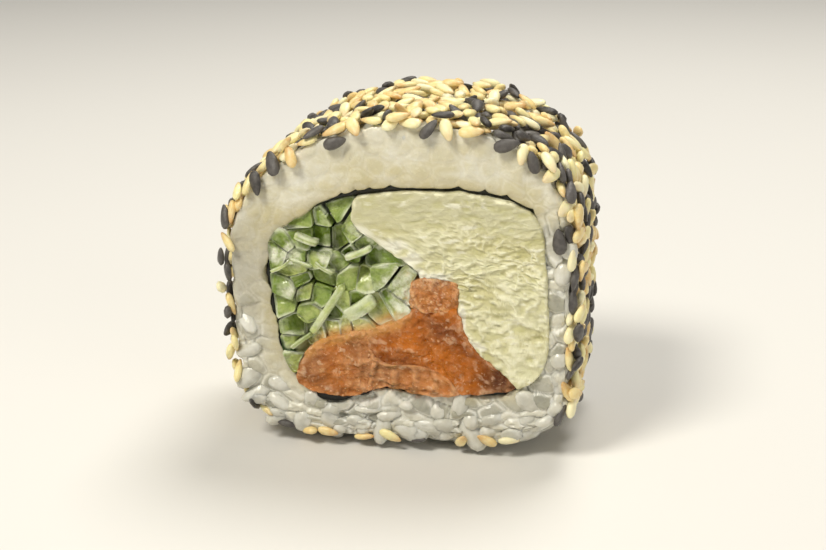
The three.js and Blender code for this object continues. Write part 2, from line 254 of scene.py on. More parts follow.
def walk_round(outline):
    """Angles round an outline with the distance walked along it up to each."""
    angle = np.linspace(0, TURN, OUTLINE_STEPS)
    x, z = outline_point(outline, angle)
    return angle, np.concatenate([[0], np.cumsum(np.hypot(np.diff(x), np.diff(z)))])


def way_round(outline):
    """The whole way round an outline."""
    return walk_round(outline)[1][-1]


def even_angles(outline, share):
    """Angles whose points lie the given shares of the whole way round an outline."""
    angle, walked = walk_round(outline)
    return np.interp(share, walked / walked[-1], angle)


def drift(y):
    """The filling's shift in x and z at a place along the roll, growing evenly from front to back."""
    t = y / LENGTH + 0.5
    return DRIFT[0] * t, DRIFT[1] * t


def drifted(x, z, y):
    """The x and z of the filling's places, with their drift at y."""
    shift_x, shift_z = drift(y)
    return x + shift_x, z + shift_z


def smooth_curve(points, closed, per_span=12):
    """A curve through points: each span is the cubic whose end slopes are half the step between the points
    before and after."""
    p = np.asarray(points, float)
    p = np.vstack([p[-1:], p, p[:2]]) if closed else np.vstack([2 * p[0] - p[1], p, 2 * p[-1] - p[-2]])
    t = np.linspace(0, 1, per_span, endpoint=False)[None, :, None]
    a, b, c, d = p[:-3, None], p[1:-2, None], p[2:-1, None], p[3:, None]
    curve = 0.5 * (2 * b + (c - a) * t + (2 * a - 5 * b + 4 * c - d) * t**2 + (3 * b - a - 3 * c + d) * t**3)
    last = p[1:2] if closed else p[-2:-1]
    return np.vstack([curve.reshape(-1, 2), last])


def first_hit(middle, angle, line):
    """Distance from middle to the first crossing of each ray with a line of points: each ray and each span
    meet where both of their parameters are in range, and the nearest counts."""
    ray = np.stack([np.cos(angle), np.sin(angle)], 1)[:, None]
    start = line[None, :-1] - np.asarray(middle)
    span = (line[1:] - line[:-1])[None]
    cross = ray[..., 0] * span[..., 1] - ray[..., 1] * span[..., 0]
    cross = np.where(np.abs(cross) < 1e-12, 1e-12, cross)
    reach = (start[..., 0] * span[..., 1] - start[..., 1] * span[..., 0]) / cross
    along = (start[..., 0] * ray[..., 1] - start[..., 1] * ray[..., 0]) / cross
    reach = np.where((along >= -1e-9) & (along <= 1 + 1e-9) & (reach > 0), reach, np.inf)
    return reach.min(1)


def blur_round(values, passes):
    """Evens out a closed row of values by averaging each with its two neighbours again and again."""
    for _ in range(passes):
        values = (np.roll(values, 1) + 2 * values + np.roll(values, -1)) / 4
    return values


def shift_of_frame():
    """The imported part's place against the drawing frame: the seaweed's box against that by formula."""
    low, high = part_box("seaweed_sheet")
    outline = outline_point(HOLLOW, np.linspace(0, TURN, OUTLINE_STEPS), CLEARANCE)
    reach = FACE_Y - SEAWEED_SET_BACK
    ends = zip(drift(-reach), drift(reach))
    middle_x, middle_z = (
        (line.min() + min(shifts) + line.max() + max(shifts)) / 2 for line, shifts in zip(outline, ends)
    )
    found = (low + high) / 2 / MM
    return np.array([found.x - middle_x, found.y, found.z - middle_z])


SHIFT = shift_of_frame()


# Meshes from arrays.


def ring_faces(rows, columns, wrap_rows=False):
    """Quads of a grid that closes along its columns, and along its rows too if asked."""
    i = np.arange(rows if wrap_rows else rows - 1)[:, None]
    j = np.arange(columns)[None]
    below, beside = (i + 1) % rows, (j + 1) % columns
    corners = [i * columns + j, i * columns + beside, below * columns + beside, below * columns + j]
    return np.stack([np.broadcast_to(c, (i.size, columns)) for c in corners], -1).reshape(-1, 4)


def pole_faces(rows, columns):
    """Triangles from the first and the last row of a grid to the two points that follow it."""
    j = np.arange(columns)
    beside = (j + 1) % columns
    last = (rows - 1) * columns
    first_pole, last_pole = rows * columns, rows * columns + 1
    front = np.stack([beside, j, np.full(columns, first_pole)], 1)
    back = np.stack([last + j, last + beside, np.full(columns, last_pole)], 1)
    return np.vstack([front, back])


def make_piece(name, points, quads, triangles=None, attributes=None):
    """One mesh object from arrays in millimetres of the drawing frame, shaded smooth, faced outwards."""
    triangles = np.zeros((0, 3), int) if triangles is None else triangles
    mesh = bpy.data.meshes.new(name)
    mesh.vertices.add(len(points))
    mesh.vertices.foreach_set("co", ((points + SHIFT) * MM).astype(np.float32).ravel())
    sides = np.concatenate([np.full(len(quads), 4), np.full(len(triangles), 3)]).astype(np.int32)
    corners = np.concatenate([quads.ravel(), triangles.ravel()]).astype(np.int32)
    mesh.loops.add(len(corners))
    mesh.loops.foreach_set("vertex_index", corners)
    mesh.polygons.add(len(sides))
    mesh.polygons.foreach_set("loop_start", np.concatenate([[0], np.cumsum(sides)[:-1]]).astype(np.int32))
    mesh.polygons.foreach_set("use_smooth", np.ones(len(sides), bool))
    for key, values in (attributes or {}).items():
        layer = mesh.attributes.new(key, "FLOAT", "POINT")
        layer.data.foreach_set("value", np.asarray(values, np.float32).ravel())
    mesh.validate()
    mesh.update()
    piece = bpy.data.objects.new(name, mesh)
    bpy.context.scene.collection.objects.link(piece)
    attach(piece, "root")
    return piece


def dress(piece, material, slot, *nodes):
    """Gives a piece its material and hides the CAD nodes that it stands for; slot is not used."""
    piece.data.materials.append(material)
    if nodes:
        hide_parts(*nodes)


def turned_axes(normal, turn):
    """Axes of things laid on a surface: their length lies in the surface at an angle, their third axis is
    the outward normal."""
    normal = normal / np.linalg.norm(normal, axis=1, keepdims=True)
    helper = np.where(np.abs(normal[:, 1:2]) > 0.9, [[1.0, 0, 0]], [[0, 1.0, 0]])
    first = np.cross(helper, normal)
    first /= np.linalg.norm(first, axis=1, keepdims=True)
    second = np.cross(normal, first)
    c, s = np.cos(turn)[:, None], np.sin(turn)[:, None]
    return np.stack([c * first + s * second, c * second - s * first, normal], 1)


def lay_copies(template, centres, axes, scales):
    """Copies of a shape: each point is its coordinates along the copy's axes, scaled, plus its centre."""
    local = template[None] * scales[:, None, :]
    return centres[:, None] + np.einsum("npk,nkc->npc", local, axes)


def make_copies(name, shapes, quads, triangles, attributes):
    """One piece of many closed shapes that have the same faces. An attribute has one value for each
    shape, or one for each point of each shape."""
    copies, each = shapes.shape[:2]
    starts = (np.arange(copies) * each)[:, None, None]
    faces = [(kind + starts).reshape(-1, kind.shape[1]) for kind in (quads, triangles)]
    values = {k: np.broadcast_to(np.reshape(v, (copies, -1)), (copies, each)) for k, v in attributes.items()}
    return make_piece(name, shapes.reshape(-1, 3), *faces, values)


def in_space(flat, y):
    """Points or directions in space, from their x and z in one array and their y."""
    return np.stack([flat[..., 0], y, flat[..., 1]], -1)


def with_poles(x, y, z):
    """The points of a grid, then the middles of its first and last rows."""
    poles = [[values[row].mean() for values in (x, y, z)] for row in (0, -1)]
    return np.vstack([np.stack([x, y, z], -1).reshape(-1, 3), poles])


def pole_values(values):
    """The values of a grid's points, then their means over its first and last rows."""
    return np.concatenate([values.ravel(), [values[0].mean(), values[-1].mean()]])


def rod(reach, rounding, rings, steps, ends, side_y):
    """A rod from face to face, in rows from the middle of its front face over both rims to the middle of
    its back face. Each face has rings on its flat part and steps round its rim's quarter circle. Returns
    the radius and the y of every point, and how far each row follows a relief on the faces: down to -1 in
    front, up to 1 behind, and not at all along the side."""
    share = np.linspace(0, 1, rings + 1)[1:]
    bend = np.linspace(0, math.pi / 2, steps + 1)[1:]
    inner = np.concatenate([share, 0 * bend + 1])[:, None]
    rim = np.concatenate([0 * share, np.sin(bend)])[:, None]
    back = np.concatenate([0 * share, 1 - np.cos(bend)])
    face = inner * np.maximum(reach - rounding, 0.1) + rim * rounding
    radius = np.vstack([face, np.repeat(reach[None], len(side_y), 0), face[::-1]])
    y = np.concatenate([ends[0] + rounding * back, side_y, ends[1] - rounding * back[::-1]])
    push = np.concatenate([back - 1, 0 * side_y, 1 - back[::-1]])
    return radius, y[:, None] + 0 * radius, push[:, None]


def lozenge(rows, columns, taper, squareness):
    """A closed seed or grain of unit length, width and thickness along X. Its half width at t from -1 to
    1 is (1 - |t|^squareness)^(1/2), times 1 - taper * t, and each row across is an ellipse."""
    t = -np.cos(np.linspace(0, math.pi, rows + 2))[1:-1]
    around = np.linspace(0, TURN, columns, endpoint=False)
    half = 0.5 * np.sqrt(1 - np.abs(t) ** squareness) * (1 - taper * t)
    along = np.broadcast_to(0.5 * t[:, None], (rows, columns))
    rings = np.stack([along, half[:, None] * np.cos(around), half[:, None] * np.sin(around)], -1)
    points = np.vstack([rings.reshape(-1, 3), [[-0.5, 0, 0], [0.5, 0, 0]]])
    return points, ring_faces(rows, columns), pole_faces(rows, columns)


# Materials. Each reads the piece's own attributes and Object coordinates in metres.


class Shader:
    """A new material with its node tree and short calls for the nodes that food needs."""

    def __init__(self, name):
        self.material = bpy.data.materials.new(name)
        self.material.use_nodes = True
        self.tree = self.material.node_tree
        self.surface = self.tree.nodes["Principled BSDF"]
        self.place = self.node("ShaderNodeTexCoord").outputs["Object"]

    def node(self, kind, inputs=None, **settings):
        """A node with its settings made and each named input set or linked."""
        made = self.tree.nodes.new(kind)
        for key, value in settings.items():
            setattr(made, key, value)
        for key, value in (inputs or {}).items():
            self.put(made.inputs[key], value)
        return made

    def put(self, socket, value):
        """Links an output to a socket, or sets the socket's own value."""
        if isinstance(value, bpy.types.NodeSocket):
            self.tree.links.new(value, socket)
        elif socket.type == "RGBA" and len(value) == 3:
            socket.default_value = (*value, 1.0)
        else:
            socket.default_value = value

    def attribute(self, name):
        """One of the piece's own values at each point."""
        return self.node("ShaderNodeAttribute", attribute_name=name).outputs["Fac"]

    def noise(self, per_mm, detail=3.0, roughness=0.55, stretch=(1, 1, 1)):
        """Noise with the given number of features in a millimetre."""
        place = self.node("ShaderNodeMapping", {"Vector": self.place, "Scale": stretch}).outputs[0]
        inputs = {"Vector": place, "Scale": per_mm / MM, "Detail": detail, "Roughness": roughness}
        return self.node("ShaderNodeTexNoise", inputs).outputs["Fac"]

    def spread(self, value, low, high, to_low=0.0, to_high=1.0):
        """A value moved from one range to another, held at its ends."""
        inputs = {"Value": value, "From Min": low, "From Max": high, "To Min": to_low, "To Max": to_high}
        return self.node("ShaderNodeMapRange", inputs).outputs["Result"]

    def math(self, operation, a, b):
        """Two values joined by an arithmetic operation."""
        made = self.node("ShaderNodeMath", operation=operation)
        self.put(made.inputs[0], a)
        self.put(made.inputs[1], b)
        return made.outputs[0]

    def times(self, a, b):
        """The product of two values."""
        return self.math("MULTIPLY", a, b)

    def mix(self, share, a, b, label=""):
        """One colour blended into another."""
        made = self.node("ShaderNodeMix", data_type="RGBA", label=label)
        self.put(made.inputs["Factor"], share)
        self.put(made.inputs[6], a)
        self.put(made.inputs[7], b)
        return made.outputs[2]

    def layers(self, colour, **layers):
        """A colour with others laid over it in order, each by its own share and under its own label."""
        for label, (share, over) in layers.items():
            colour = self.mix(share, colour, over, label)
        return colour

    def bump(self, height, depth_mm):
        """A fine relief of the given depth in millimetres."""
        inputs = {"Height": height, "Distance": depth_mm * MM, "Strength": 1.0}
        return self.node("ShaderNodeBump", inputs).outputs["Normal"]

    def finish(self, **inputs):
        """Sets the surface's own sockets, named with underscores for spaces, and returns the material."""
        for key, value in inputs.items():
            self.put(self.surface.inputs[key.replace("_", " ")], value)
        return self.material


def soft_inside(shader, weight, depth_mm, tint):
    """Light that enters a moist food and leaves it again nearby."""
    shader.finish(Subsurface_Weight=weight, Subsurface_Scale=depth_mm * MM, Subsurface_Radius=tint)


def rice_material(colours):
    """Cooked rice: warm where it is smeared, with a whiter film towards the outside, painted shade along the
    inner edge by the seaweed and over the lower left of the front face, and clear grey to milky by grain
    where it is loose, paler along each grain's cut edge, partly as a painted highlight."""
    shader = Shader("cooked_rice")
    outline = shader.attribute("outline")
    outward = shader.attribute("outward")
    cloud = shader.spread(shader.noise(0.15, 4, stretch=(0.8, 1, 1)), 0.34, 0.66)
    film = shader.math("ADD", shader.spread(outward, 0.35, 1.0, 0, 0.55), shader.times(cloud, 0.45))
    streak = shader.spread(shader.noise(0.4, 4, stretch=(0.5, 1, 1)), 0.46, 0.72, 0, 0.6)
    smeared = shader.layers(
        colours.rice_smooth,
        film=(film, colours.rice_film),
        streaks=(streak, srgb(238, 238, 232)),
        buried_grains=(shader.times(outline, 0.22), srgb(240, 238, 230)),
        # painted shade: darker, warmer rice along the inner edge by the seaweed
        warm_inner_edge=(shader.spread(outward, 0.0, 0.2, 0.55, 0), srgb(178, 164, 120)),
        # painted shade over the lower left of the front face
        lower_left=(shader.times(shader.attribute("shade"), 0.6), srgb(158, 154, 140)),
    )
    grains = shader.layers(
        colours.rice_clear,
        milky=(shader.spread(shader.attribute("tone"), 0.15, 0.8), colours.rice_milky),
        # paler band along each loose grain's edge, partly a painted highlight on its rounded rim
        grain_edges=(shader.times(outline, 0.85), srgb(238, 237, 229)),
        cloud=(shader.spread(cloud, 0.3, 1.0, 0, 0.3), srgb(214, 208, 180)),
    )
    colour = shader.mix(shader.attribute("loose"), smeared, grains)
    speck = shader.noise(1.7, 4)
    gloss = shader.spread(speck, 0.35, 0.7, 0.12, 0.36)
    soft_inside(shader, 0.3, 0.9, (1.0, 0.88, 0.7))
    return shader.finish(Base_Color=colour, Roughness=gloss, Normal=shader.bump(speck, 0.12))


def grain_material(colours):
    """Single rice grains: milky and glossy, each with its own shade, and clear grey inside where the
    knife cut them open."""
    shader = Shader("rice_grain")
    tone = shader.attribute("tone")
    colour = shader.layers(
        colours.rice_milky,
        cloud=(shader.spread(shader.noise(0.5, 4), 0.36, 0.64), srgb(232, 231, 222)),
        cut=(
            shader.times(shader.attribute("cut"), 0.9),
            shader.mix(tone, srgb(150, 149, 138), colours.rice_milky),
        ),
        clear=(shader.times(tone, 0.35), colours.rice_clear),
    )
    soft_inside(shader, 0.4, 0.9, (1.0, 0.92, 0.8))
    return shader.finish(Base_Color=colour, Roughness=0.16, Normal=shader.bump(shader.noise(1.8, 4), 0.12))


def pale_sesame_material(colours):
    """Hulled sesame: from ivory to toasted gold by seed, browner at the pointed end, slightly waxy."""
    shader = Shader("pale_sesame")
    tone = shader.attribute("tone")
    colour = shader.layers(
        colours.sesame_pale,
        toasted=(shader.spread(tone, 0.35, 1.0), colours.sesame_toasted),
        brown_tip=(shader.spread(shader.attribute("tip"), 0.5, 1.0, 0, 0.65), srgb(190, 124, 50)),
        ivory=(shader.spread(tone, 0.0, 0.3, 0.75, 0), srgb(250, 244, 212)),
        mottle=(shader.spread(shader.noise(1.6, 4), 0.4, 0.75, 0.0, 0.5), srgb(255, 248, 208)),
    )
    soft_inside(shader, 0.1, 0.4, (1.0, 0.7, 0.4))
    return shader.finish(Base_Color=colour, Roughness=0.33, Normal=shader.bump(shader.noise(4.5, 3), 0.05))


def black_sesame_material(colours):
    """Unhulled black sesame: charcoal to slate grey by seed, dusty, with fine pits and a low sheen."""
    shader = Shader("black_sesame")
    colour = shader.layers(
        srgb(38, 34, 32),
        slate=(shader.attribute("tone"), colours.sesame_black),
        dust=(shader.spread(shader.noise(1.4, 4), 0.4, 0.75, 0, 0.55), srgb(122, 118, 112)),
    )
    return shader.finish(Base_Color=colour, Roughness=0.42, Normal=shader.bump(shader.noise(5.0, 3), 0.08))


def seaweed_material(colours):
    """Damp seaweed: almost black green with a fibrous, crinkled surface."""
    shader = Shader("seaweed")
    fibre = shader.noise(1.2, 5, stretch=(1, 0.35, 1))
    colour = shader.mix(shader.spread(fibre, 0.35, 0.7), srgb(8, 9, 6), colours.seaweed)
    gloss = shader.spread(fibre, 0.3, 0.7, 0.35, 0.6)
    return shader.finish(Base_Color=colour, Roughness=gloss, Normal=shader.bump(fibre, 0.12))


def cheese_material(colours):
    """Cream cheese: pale yellow green, with painted shade in its furrows, and whiter on torn crests,
    partly as a painted highlight.
    """
    shader = Shader("cream_cheese")
    crest = shader.attribute("crest")
    smear = shader.spread(shader.noise(0.2, 4, stretch=(0.6, 1, 1.8)), 0.35, 0.65)
    flake = shader.spread(shader.noise(0.6, 5, stretch=(0.6, 1, 1.6)), 0.6, 0.68, 0, 0.6)
    whiter = shader.math("MAXIMUM", flake, shader.times(shader.attribute("film"), 0.9))
    colour = shader.layers(
        colours.cheese,
        smear=(smear, srgb(220, 217, 178)),
        # painted shade over the top of the cheese, under the seaweed's edge
        greyer_top=(shader.times(shader.attribute("upper"), 0.7), srgb(200, 196, 163)),
        # painted shade in the furrows
        furrows=(shader.spread(crest, 0.0, 0.3, 0.6, 0), colours.cheese_furrow_shade),
        # paler torn crests, partly a painted highlight
        peaks=(shader.spread(crest, 0.45, 0.95), colours.cheese_peak_highlight),
        flakes=(whiter, srgb(242, 240, 222)),
    )
    fine = shader.bump(shader.noise(1.6, 5, 0.6, (0.6, 1, 1.6)), 0.2)
    soft_inside(shader, 0.15, 0.6, (1.0, 0.9, 0.6))
    return shader.finish(Base_Color=colour, Roughness=0.36, Normal=fine)


def cucumber_material(colours):
    """Wet cucumber: green flesh by stick, pale along some of each stick's cut edges, partly as a painted
    highlight, and under a patchy film, dark where there is skin, and stained yellow where salmon lies
    against it."""
    shader = Shader("cucumber")
    stain = shader.attribute("stain")
    # breaks the painted edge highlight up into wet patches
    wet = shader.spread(shader.noise(0.45, 4), 0.36, 0.62, 0.1, 1.0)
    rim = shader.times(shader.spread(shader.attribute("edge"), 0.68, 0.9), wet)
    clumps = shader.noise(0.9, 5, 0.65)
    film = shader.times(shader.attribute("film"), shader.spread(clumps, 0.3, 0.48, 0.45, 1))
    starch = shader.mix(shader.spread(clumps, 0.4, 0.62), srgb(178, 188, 138), srgb(232, 235, 212))
    colour = shader.layers(
        colours.cucumber_flesh,
        light_sticks=(shader.attribute("tone"), colours.cucumber_light),
        veins=(shader.spread(shader.noise(0.8, 4), 0.42, 0.62, 0, 0.6), srgb(100, 128, 24)),
        milky=(shader.spread(shader.noise(0.3, 4), 0.52, 0.64, 0, 0.6), srgb(208, 214, 178)),
        yellow_stain=(shader.times(stain, 0.8), srgb(204, 186, 116)),
        orange_stain=(shader.spread(stain, 0.55, 1.0, 0, 0.8), srgb(208, 148, 78)),
        # pale edges, partly a painted highlight
        pale_rim=(rim, colours.cucumber_pale_edge_highlight),
        skin=(shader.attribute("skin"), colours.cucumber_skin),
        film=(film, starch),
    )
    moist = shader.noise(1.5, 5, 0.6)
    gloss = shader.spread(moist, 0.4, 0.65, 0.08, 0.32)
    soft_inside(shader, 0.18, 0.8, (0.7, 1.0, 0.4))
    shader.finish(Coat_Weight=0.5, Coat_Roughness=0.06)
    return shader.finish(Base_Color=colour, Roughness=gloss, Normal=shader.bump(moist, 0.3))


def salmon_material(name, colours, pallor):
    """Raw salmon: deep orange flesh, darker at its thin tip, with paler bands of fat, pale specks on its
    crests, partly as painted highlights, and small wet glints."""
    shader = Shader(name)
    lump = shader.spread(shader.noise(0.2, 5, 0.5, (0.8, 1, 1)), 0.36, 0.62)
    fleck = shader.spread(shader.noise(0.9, 6, 0.7), 0.54, 0.66, 0, 0.12 + 1.1 * pallor)
    vein = shader.spread(shader.noise(0.5, 5, 0.65), 0.36, 0.46, 0.7 * pallor + 0.05, 0)
    crest = shader.spread(shader.attribute("crest"), 0.6, 0.72)
    # pale specks on the crests: partly crumbs, partly painted highlights
    speck = shader.times(crest, shader.spread(shader.noise(0.4, 3), 0.45, 0.6))
    glint = shader.spread(shader.noise(2.2, 3), 0.62, 0.69, 0, 0.4 + 0.5 * pallor)
    film = shader.times(shader.attribute("film"), shader.spread(shader.noise(1.9, 5, 0.7), 0.45, 0.6))
    colour = shader.layers(
        colours.salmon_dark,
        bright=(lump, colours.salmon_bright),
        pale=(pallor, colours.salmon_light),
        thin_tip=(shader.times(shader.attribute("thin"), 0.9), srgb(76, 32, 0)),
        faded_edge=(shader.times(shader.attribute("fade"), 0.85), srgb(208, 152, 80)),
        fat=(shader.times(shader.attribute("band"), 0.7), srgb(224, 164, 112)),
        flecks=(fleck, srgb(244, 192, 138)),
        veins=(vein, srgb(146, 68, 14)),
        # pale specks, partly painted highlights
        specks=(shader.times(speck, 0.35 + 0.5 * pallor), srgb(240, 206, 172)),
        glints=(glint, srgb(250, 212, 168)),
        film=(shader.times(film, 0.45 + 0.5 * pallor), srgb(230, 194, 158)),
    )
    moist = shader.noise(1.2, 6, 0.7)
    gloss = shader.spread(moist, 0.42, 0.62, 0.18, 0.45)
    soft_inside(shader, 0.16, 0.7, (1.0, 0.4, 0.1))
    shader.finish(Coat_Weight=0.36, Coat_Roughness=0.06, Coat_Normal=shader.bump(moist, 0.8))
    normal = shader.bump(moist, 0.32)
    return shader.finish(Base_Color=colour, Roughness=gloss, Normal=normal, Specular_IOR_Level=0.2)


def floor_material(colours):
    """A plain pale floor, very slightly uneven in tone."""
    shader = Shader("pale_floor")
    cloud = shader.noise(0.004, 2)
    colour = shader.mix(shader.spread(cloud, 0.3, 0.7, 0, 0.25), colours.floor, srgb(216, 214, 210))
    return shader.finish(Base_Color=colour, Roughness=0.75)


# Rice.


def looseness(x, z):
    """How far the grains stand apart on a cut face, from 0 to 1: loose below, on the right and at the lower
    left, and smeared over the top and the left, with a ragged border between."""
    ragged = 4.4 * (layered_noise(x / 4, z / 4, 3, 5) - 0.5)
    below = 1 - ramp(z + ragged, 6.5, 10)
    right = ramp(x + 0.6 * ragged, 14.5, 16.8) * (1 - ramp(z + ragged, 27, 35))
    left = (1 - ramp(x + 0.5 * ragged, -18.2, -15.8)) * (1 - ramp(z + ragged, 12, 23)) * 0.85
    return np.clip(np.maximum(np.maximum(below, right), left), 0, 1)


def neighbours(a, b, columns, seed, count, wrap=0):
    """The lattice places near each point, one shift at a time: their column, their row and their own fixed
    random values."""
    column, row = np.floor(a), np.floor(b)
    for dj in (-1, 0, 1):
        for di in columns:
            i, j = column + di, row + dj
            yield i, j, [lattice_value(i, j, seed + k, wrap) for k in range(count)]


def grain_field(a, b, cell, half_length, half_width, seed, wrap=0):
    """Grains side by side: over a jittered brick lattice each grain is the dome of its own turned ellipse,
    the square root of 1 less the squared elliptical distance, at its own height, and the highest dome
    counts. Returns the height from 0 to 1 and a random tone for the grain on top."""
    best, tone = np.zeros_like(a), np.full_like(a, 0.5)
    for i, j, values in neighbours(a / cell[0], b / cell[1], (-2, -1, 0, 1), seed, 5, wrap):
        da = a - (i + 0.5 + 0.5 * (j % 2) + 0.5 * (values[0] - 0.5)) * cell[0]
        db = b - (j + 0.5 + 0.5 * (values[1] - 0.5)) * cell[1]
        turn = math.pi * values[2]
        along = (da * np.cos(turn) + db * np.sin(turn)) / half_length
        across = (db * np.cos(turn) - da * np.sin(turn)) / half_width
        dome = np.sqrt(np.clip(1 - along**2 - across**2, 0, 1)) * (0.72 + 0.28 * values[3])
        tone = np.where(dome > best, values[4], tone)
        best = np.maximum(best, dome)
    return best, tone


def cell_field(a, b, seed):
    """Cut grains side by side: cells round the jittered middles of a unit lattice. Returns how much
    farther the second nearest middle is than the nearest, 0 on a border, then for the nearest cell two
    random values, and the height there of its own tilted plane."""
    first = np.full_like(a, 9.0)
    second, tone, sink, slope = first.copy(), first.copy(), first.copy(), first.copy()
    for i, j, values in neighbours(a, b, (-1, 0, 1), seed, 6):
        da = a - (i + 0.5 + 0.8 * (values[0] - 0.5))
        db = b - (j + 0.5 + 0.8 * (values[1] - 0.5))
        distance = np.hypot(da, db)
        nearer = distance < first
        second = np.where(nearer, first, np.minimum(second, distance))
        tone = np.where(nearer, values[2], tone)
        sink = np.where(nearer, values[3], sink)
        slope = np.where(nearer, da * (values[4] - 0.5) + db * (values[5] - 0.5), slope)
        first = np.where(nearer, distance, first)
    return second - first, tone, sink, slope


def wall_section():
    """Stations of the rice wall's section: the share of the wall crossed from the seaweed outwards, the
    share of the rim's radius added at the rounded rim, the place along the roll, and which side faces out
    there, -1 or 1 on a cut face and 0 on the outside. The last four lie hidden against the seaweed."""
    crossing = np.linspace(0, 1, 34)
    bend = np.linspace(0, math.pi / 2, 7)[1:-1]
    side_y = FACE_Y - RIM_RADIUS
    face = np.stack([crossing, 0 * crossing, 0 * crossing + FACE_Y, 0 * crossing + 1], 1)
    rim = np.stack([0 * bend + 1, np.sin(bend), side_y + RIM_RADIUS * np.cos(bend), np.cos(bend)], 1)
    back = np.vstack([face, rim])
    front = back * [1, 1, -1, -1]
    reach = np.linspace(-side_y, side_y, 40)
    outside = np.stack([0 * reach + 1, 0 * reach + 1, reach, 0 * reach], 1)
    hidden = np.array([[0, 0, y, 0] for y in (11.3, 4, -4, -11.3)])
    return np.vstack([front, outside, back[::-1], hidden])


def edge_lift(y, z):
    """How far the underside rises at a place: towards both cut faces, and less with height."""
    low = 1 - ramp(z, EDGE_LIFT["full_below"], EDGE_LIFT["none_above"])
    return EDGE_LIFT["height"] * low * ramp(np.abs(y), EDGE_LIFT["start"], EDGE_LIFT["end"])


def lift_edges(points, share):
    """Raises the underside towards both cut faces and keeps everything above the table."""
    points[..., 2] += edge_lift(points[..., 1], points[..., 2]) * ramp(share, 0.2, 1)
    points[..., 2] = np.maximum(points[..., 2], 0.0)


# How far the rice hangs over the seaweed's edge on a cut face: x and z of places round the hollow, and the
# overhang there. Where it is below zero, the edge shows as a dark line.
OVERHANG = (
    (18.2, 25, 1.1), (17.9, 30.2, 0.8), (16.6, 31.8, 0.1), (14.3, 33.2, -0.25), (6.9, 34.4, -0.25),
    (2.7, 34.6, -0.3), (-1.3, 34.3, -0.4), (-4.7, 33.1, -0.6), (-7.6, 32.1, -0.35), (-10, 31, 0.6),
    (-14.8, 28, 0.9), (-16.2, 24.4, 0.8), (-16.4, 22.9, -0.75), (-16.4, 21.9, -0.75), (-16.4, 20.6, 0.6),
    (-16.4, 19.4, 0.3), (-16.3, 17.6, -0.1), (-16.2, 16.4, 0.5), (-15.5, 13.5, 0.5), (-14.5, 10.5, 1.1),
    (-12.5, 8, 0.6), (-11.2, 7.2, -0.5), (-9.4, 7, -1.1), (-7, 7, -1), (-4.8, 7.3, -0.3),
    (-2.6, 7.5, 1.2), (-0.9, 7.5, 1.3), (0.9, 7.6, 0.5), (2.6, 7.6, 0), (5.2, 7.6, 0.7), (7.5, 7.7, 0.3),
    (9.5, 7.8, -0.4), (12.5, 8, -0.6), (14.6, 8.6, 0.7), (17.5, 12, 1.1), (18.2, 18, 1.1),
)


def overhang(angle):
    """The rice's overhang at evenly walked angles round the hollow, evened out between the places above."""
    x, z, amount = np.array(OVERHANG).T
    at = (np.arctan2(z - HOLLOW["z"], x - HOLLOW["x"]) - math.radians(HOLLOW["tilt"])) % TURN
    order = np.argsort(at)
    between = np.interp(angle % TURN, at[order], amount[order], period=TURN)
    return blur_round(between, 24)


def cusps(walked):
    """Small points between the grains that bulge against the seaweed, 0 between them and 1 at each."""
    wobble = 3.9 + 0.5 * np.sin(walked * 0.37)
    return (1 - np.abs(np.sin(math.pi * walked / wobble))) ** 2


def wall_lip(turn, angle, z):
    """How far the wall's inner edge hangs over the seaweed: scalloped between the grains along the top, and
    ragged elsewhere."""
    top = ramp(z, 29, 32)
    scallop = 0.42 * top * (1 - cusps(turn * way_round(HOLLOW)))
    ragged = 0.8 * (layered_noise(80 * turn, 0 * turn, 3, 47, 80) - 0.5)
    return 0.1 + overhang(angle) + scallop + ragged * (1 - top)


def cut_relief(x, z, side, loose, depth):
    """Relief of the cut faces: loose grains are flats between grooves, each at its own depth and tilt,
    and the smeared rice has shallow facets. Returns how deep each place lies, how far it is from its
    grain's border, its grain's tone and the ripple of the smeared rice."""
    warp = 0.7 * layered_noise(x / 2.5, z / 2.5, 2, 61)
    grains = [cell_field(x / CUT_GRAIN[0] + warp, z / CUT_GRAIN[1] - warp, seed) for seed in (11, 29)]
    gap, tone, sink, slope = (np.where(side < 0, front, back) for front, back in zip(*grains))
    flats = ramp(gap, -0.05, 0.5)
    ripple = layered_noise(x / 2.4, z / 3.5, 3, 41)
    grit = layered_noise(x / 0.9, z / 0.8, 4, 43)
    rough = 0.34 * depth * (1 - flats) + 0.5 * depth * sink**2 + 0.45 * slope + 0.5 * (sink > 0.92) * flats
    dip = loose * (rough + 0.5 * grit) + (1 - loose) * (0.55 * ripple + 0.12 * (1 - flats) + 0.12 * grit)
    return dip, gap, tone, ripple


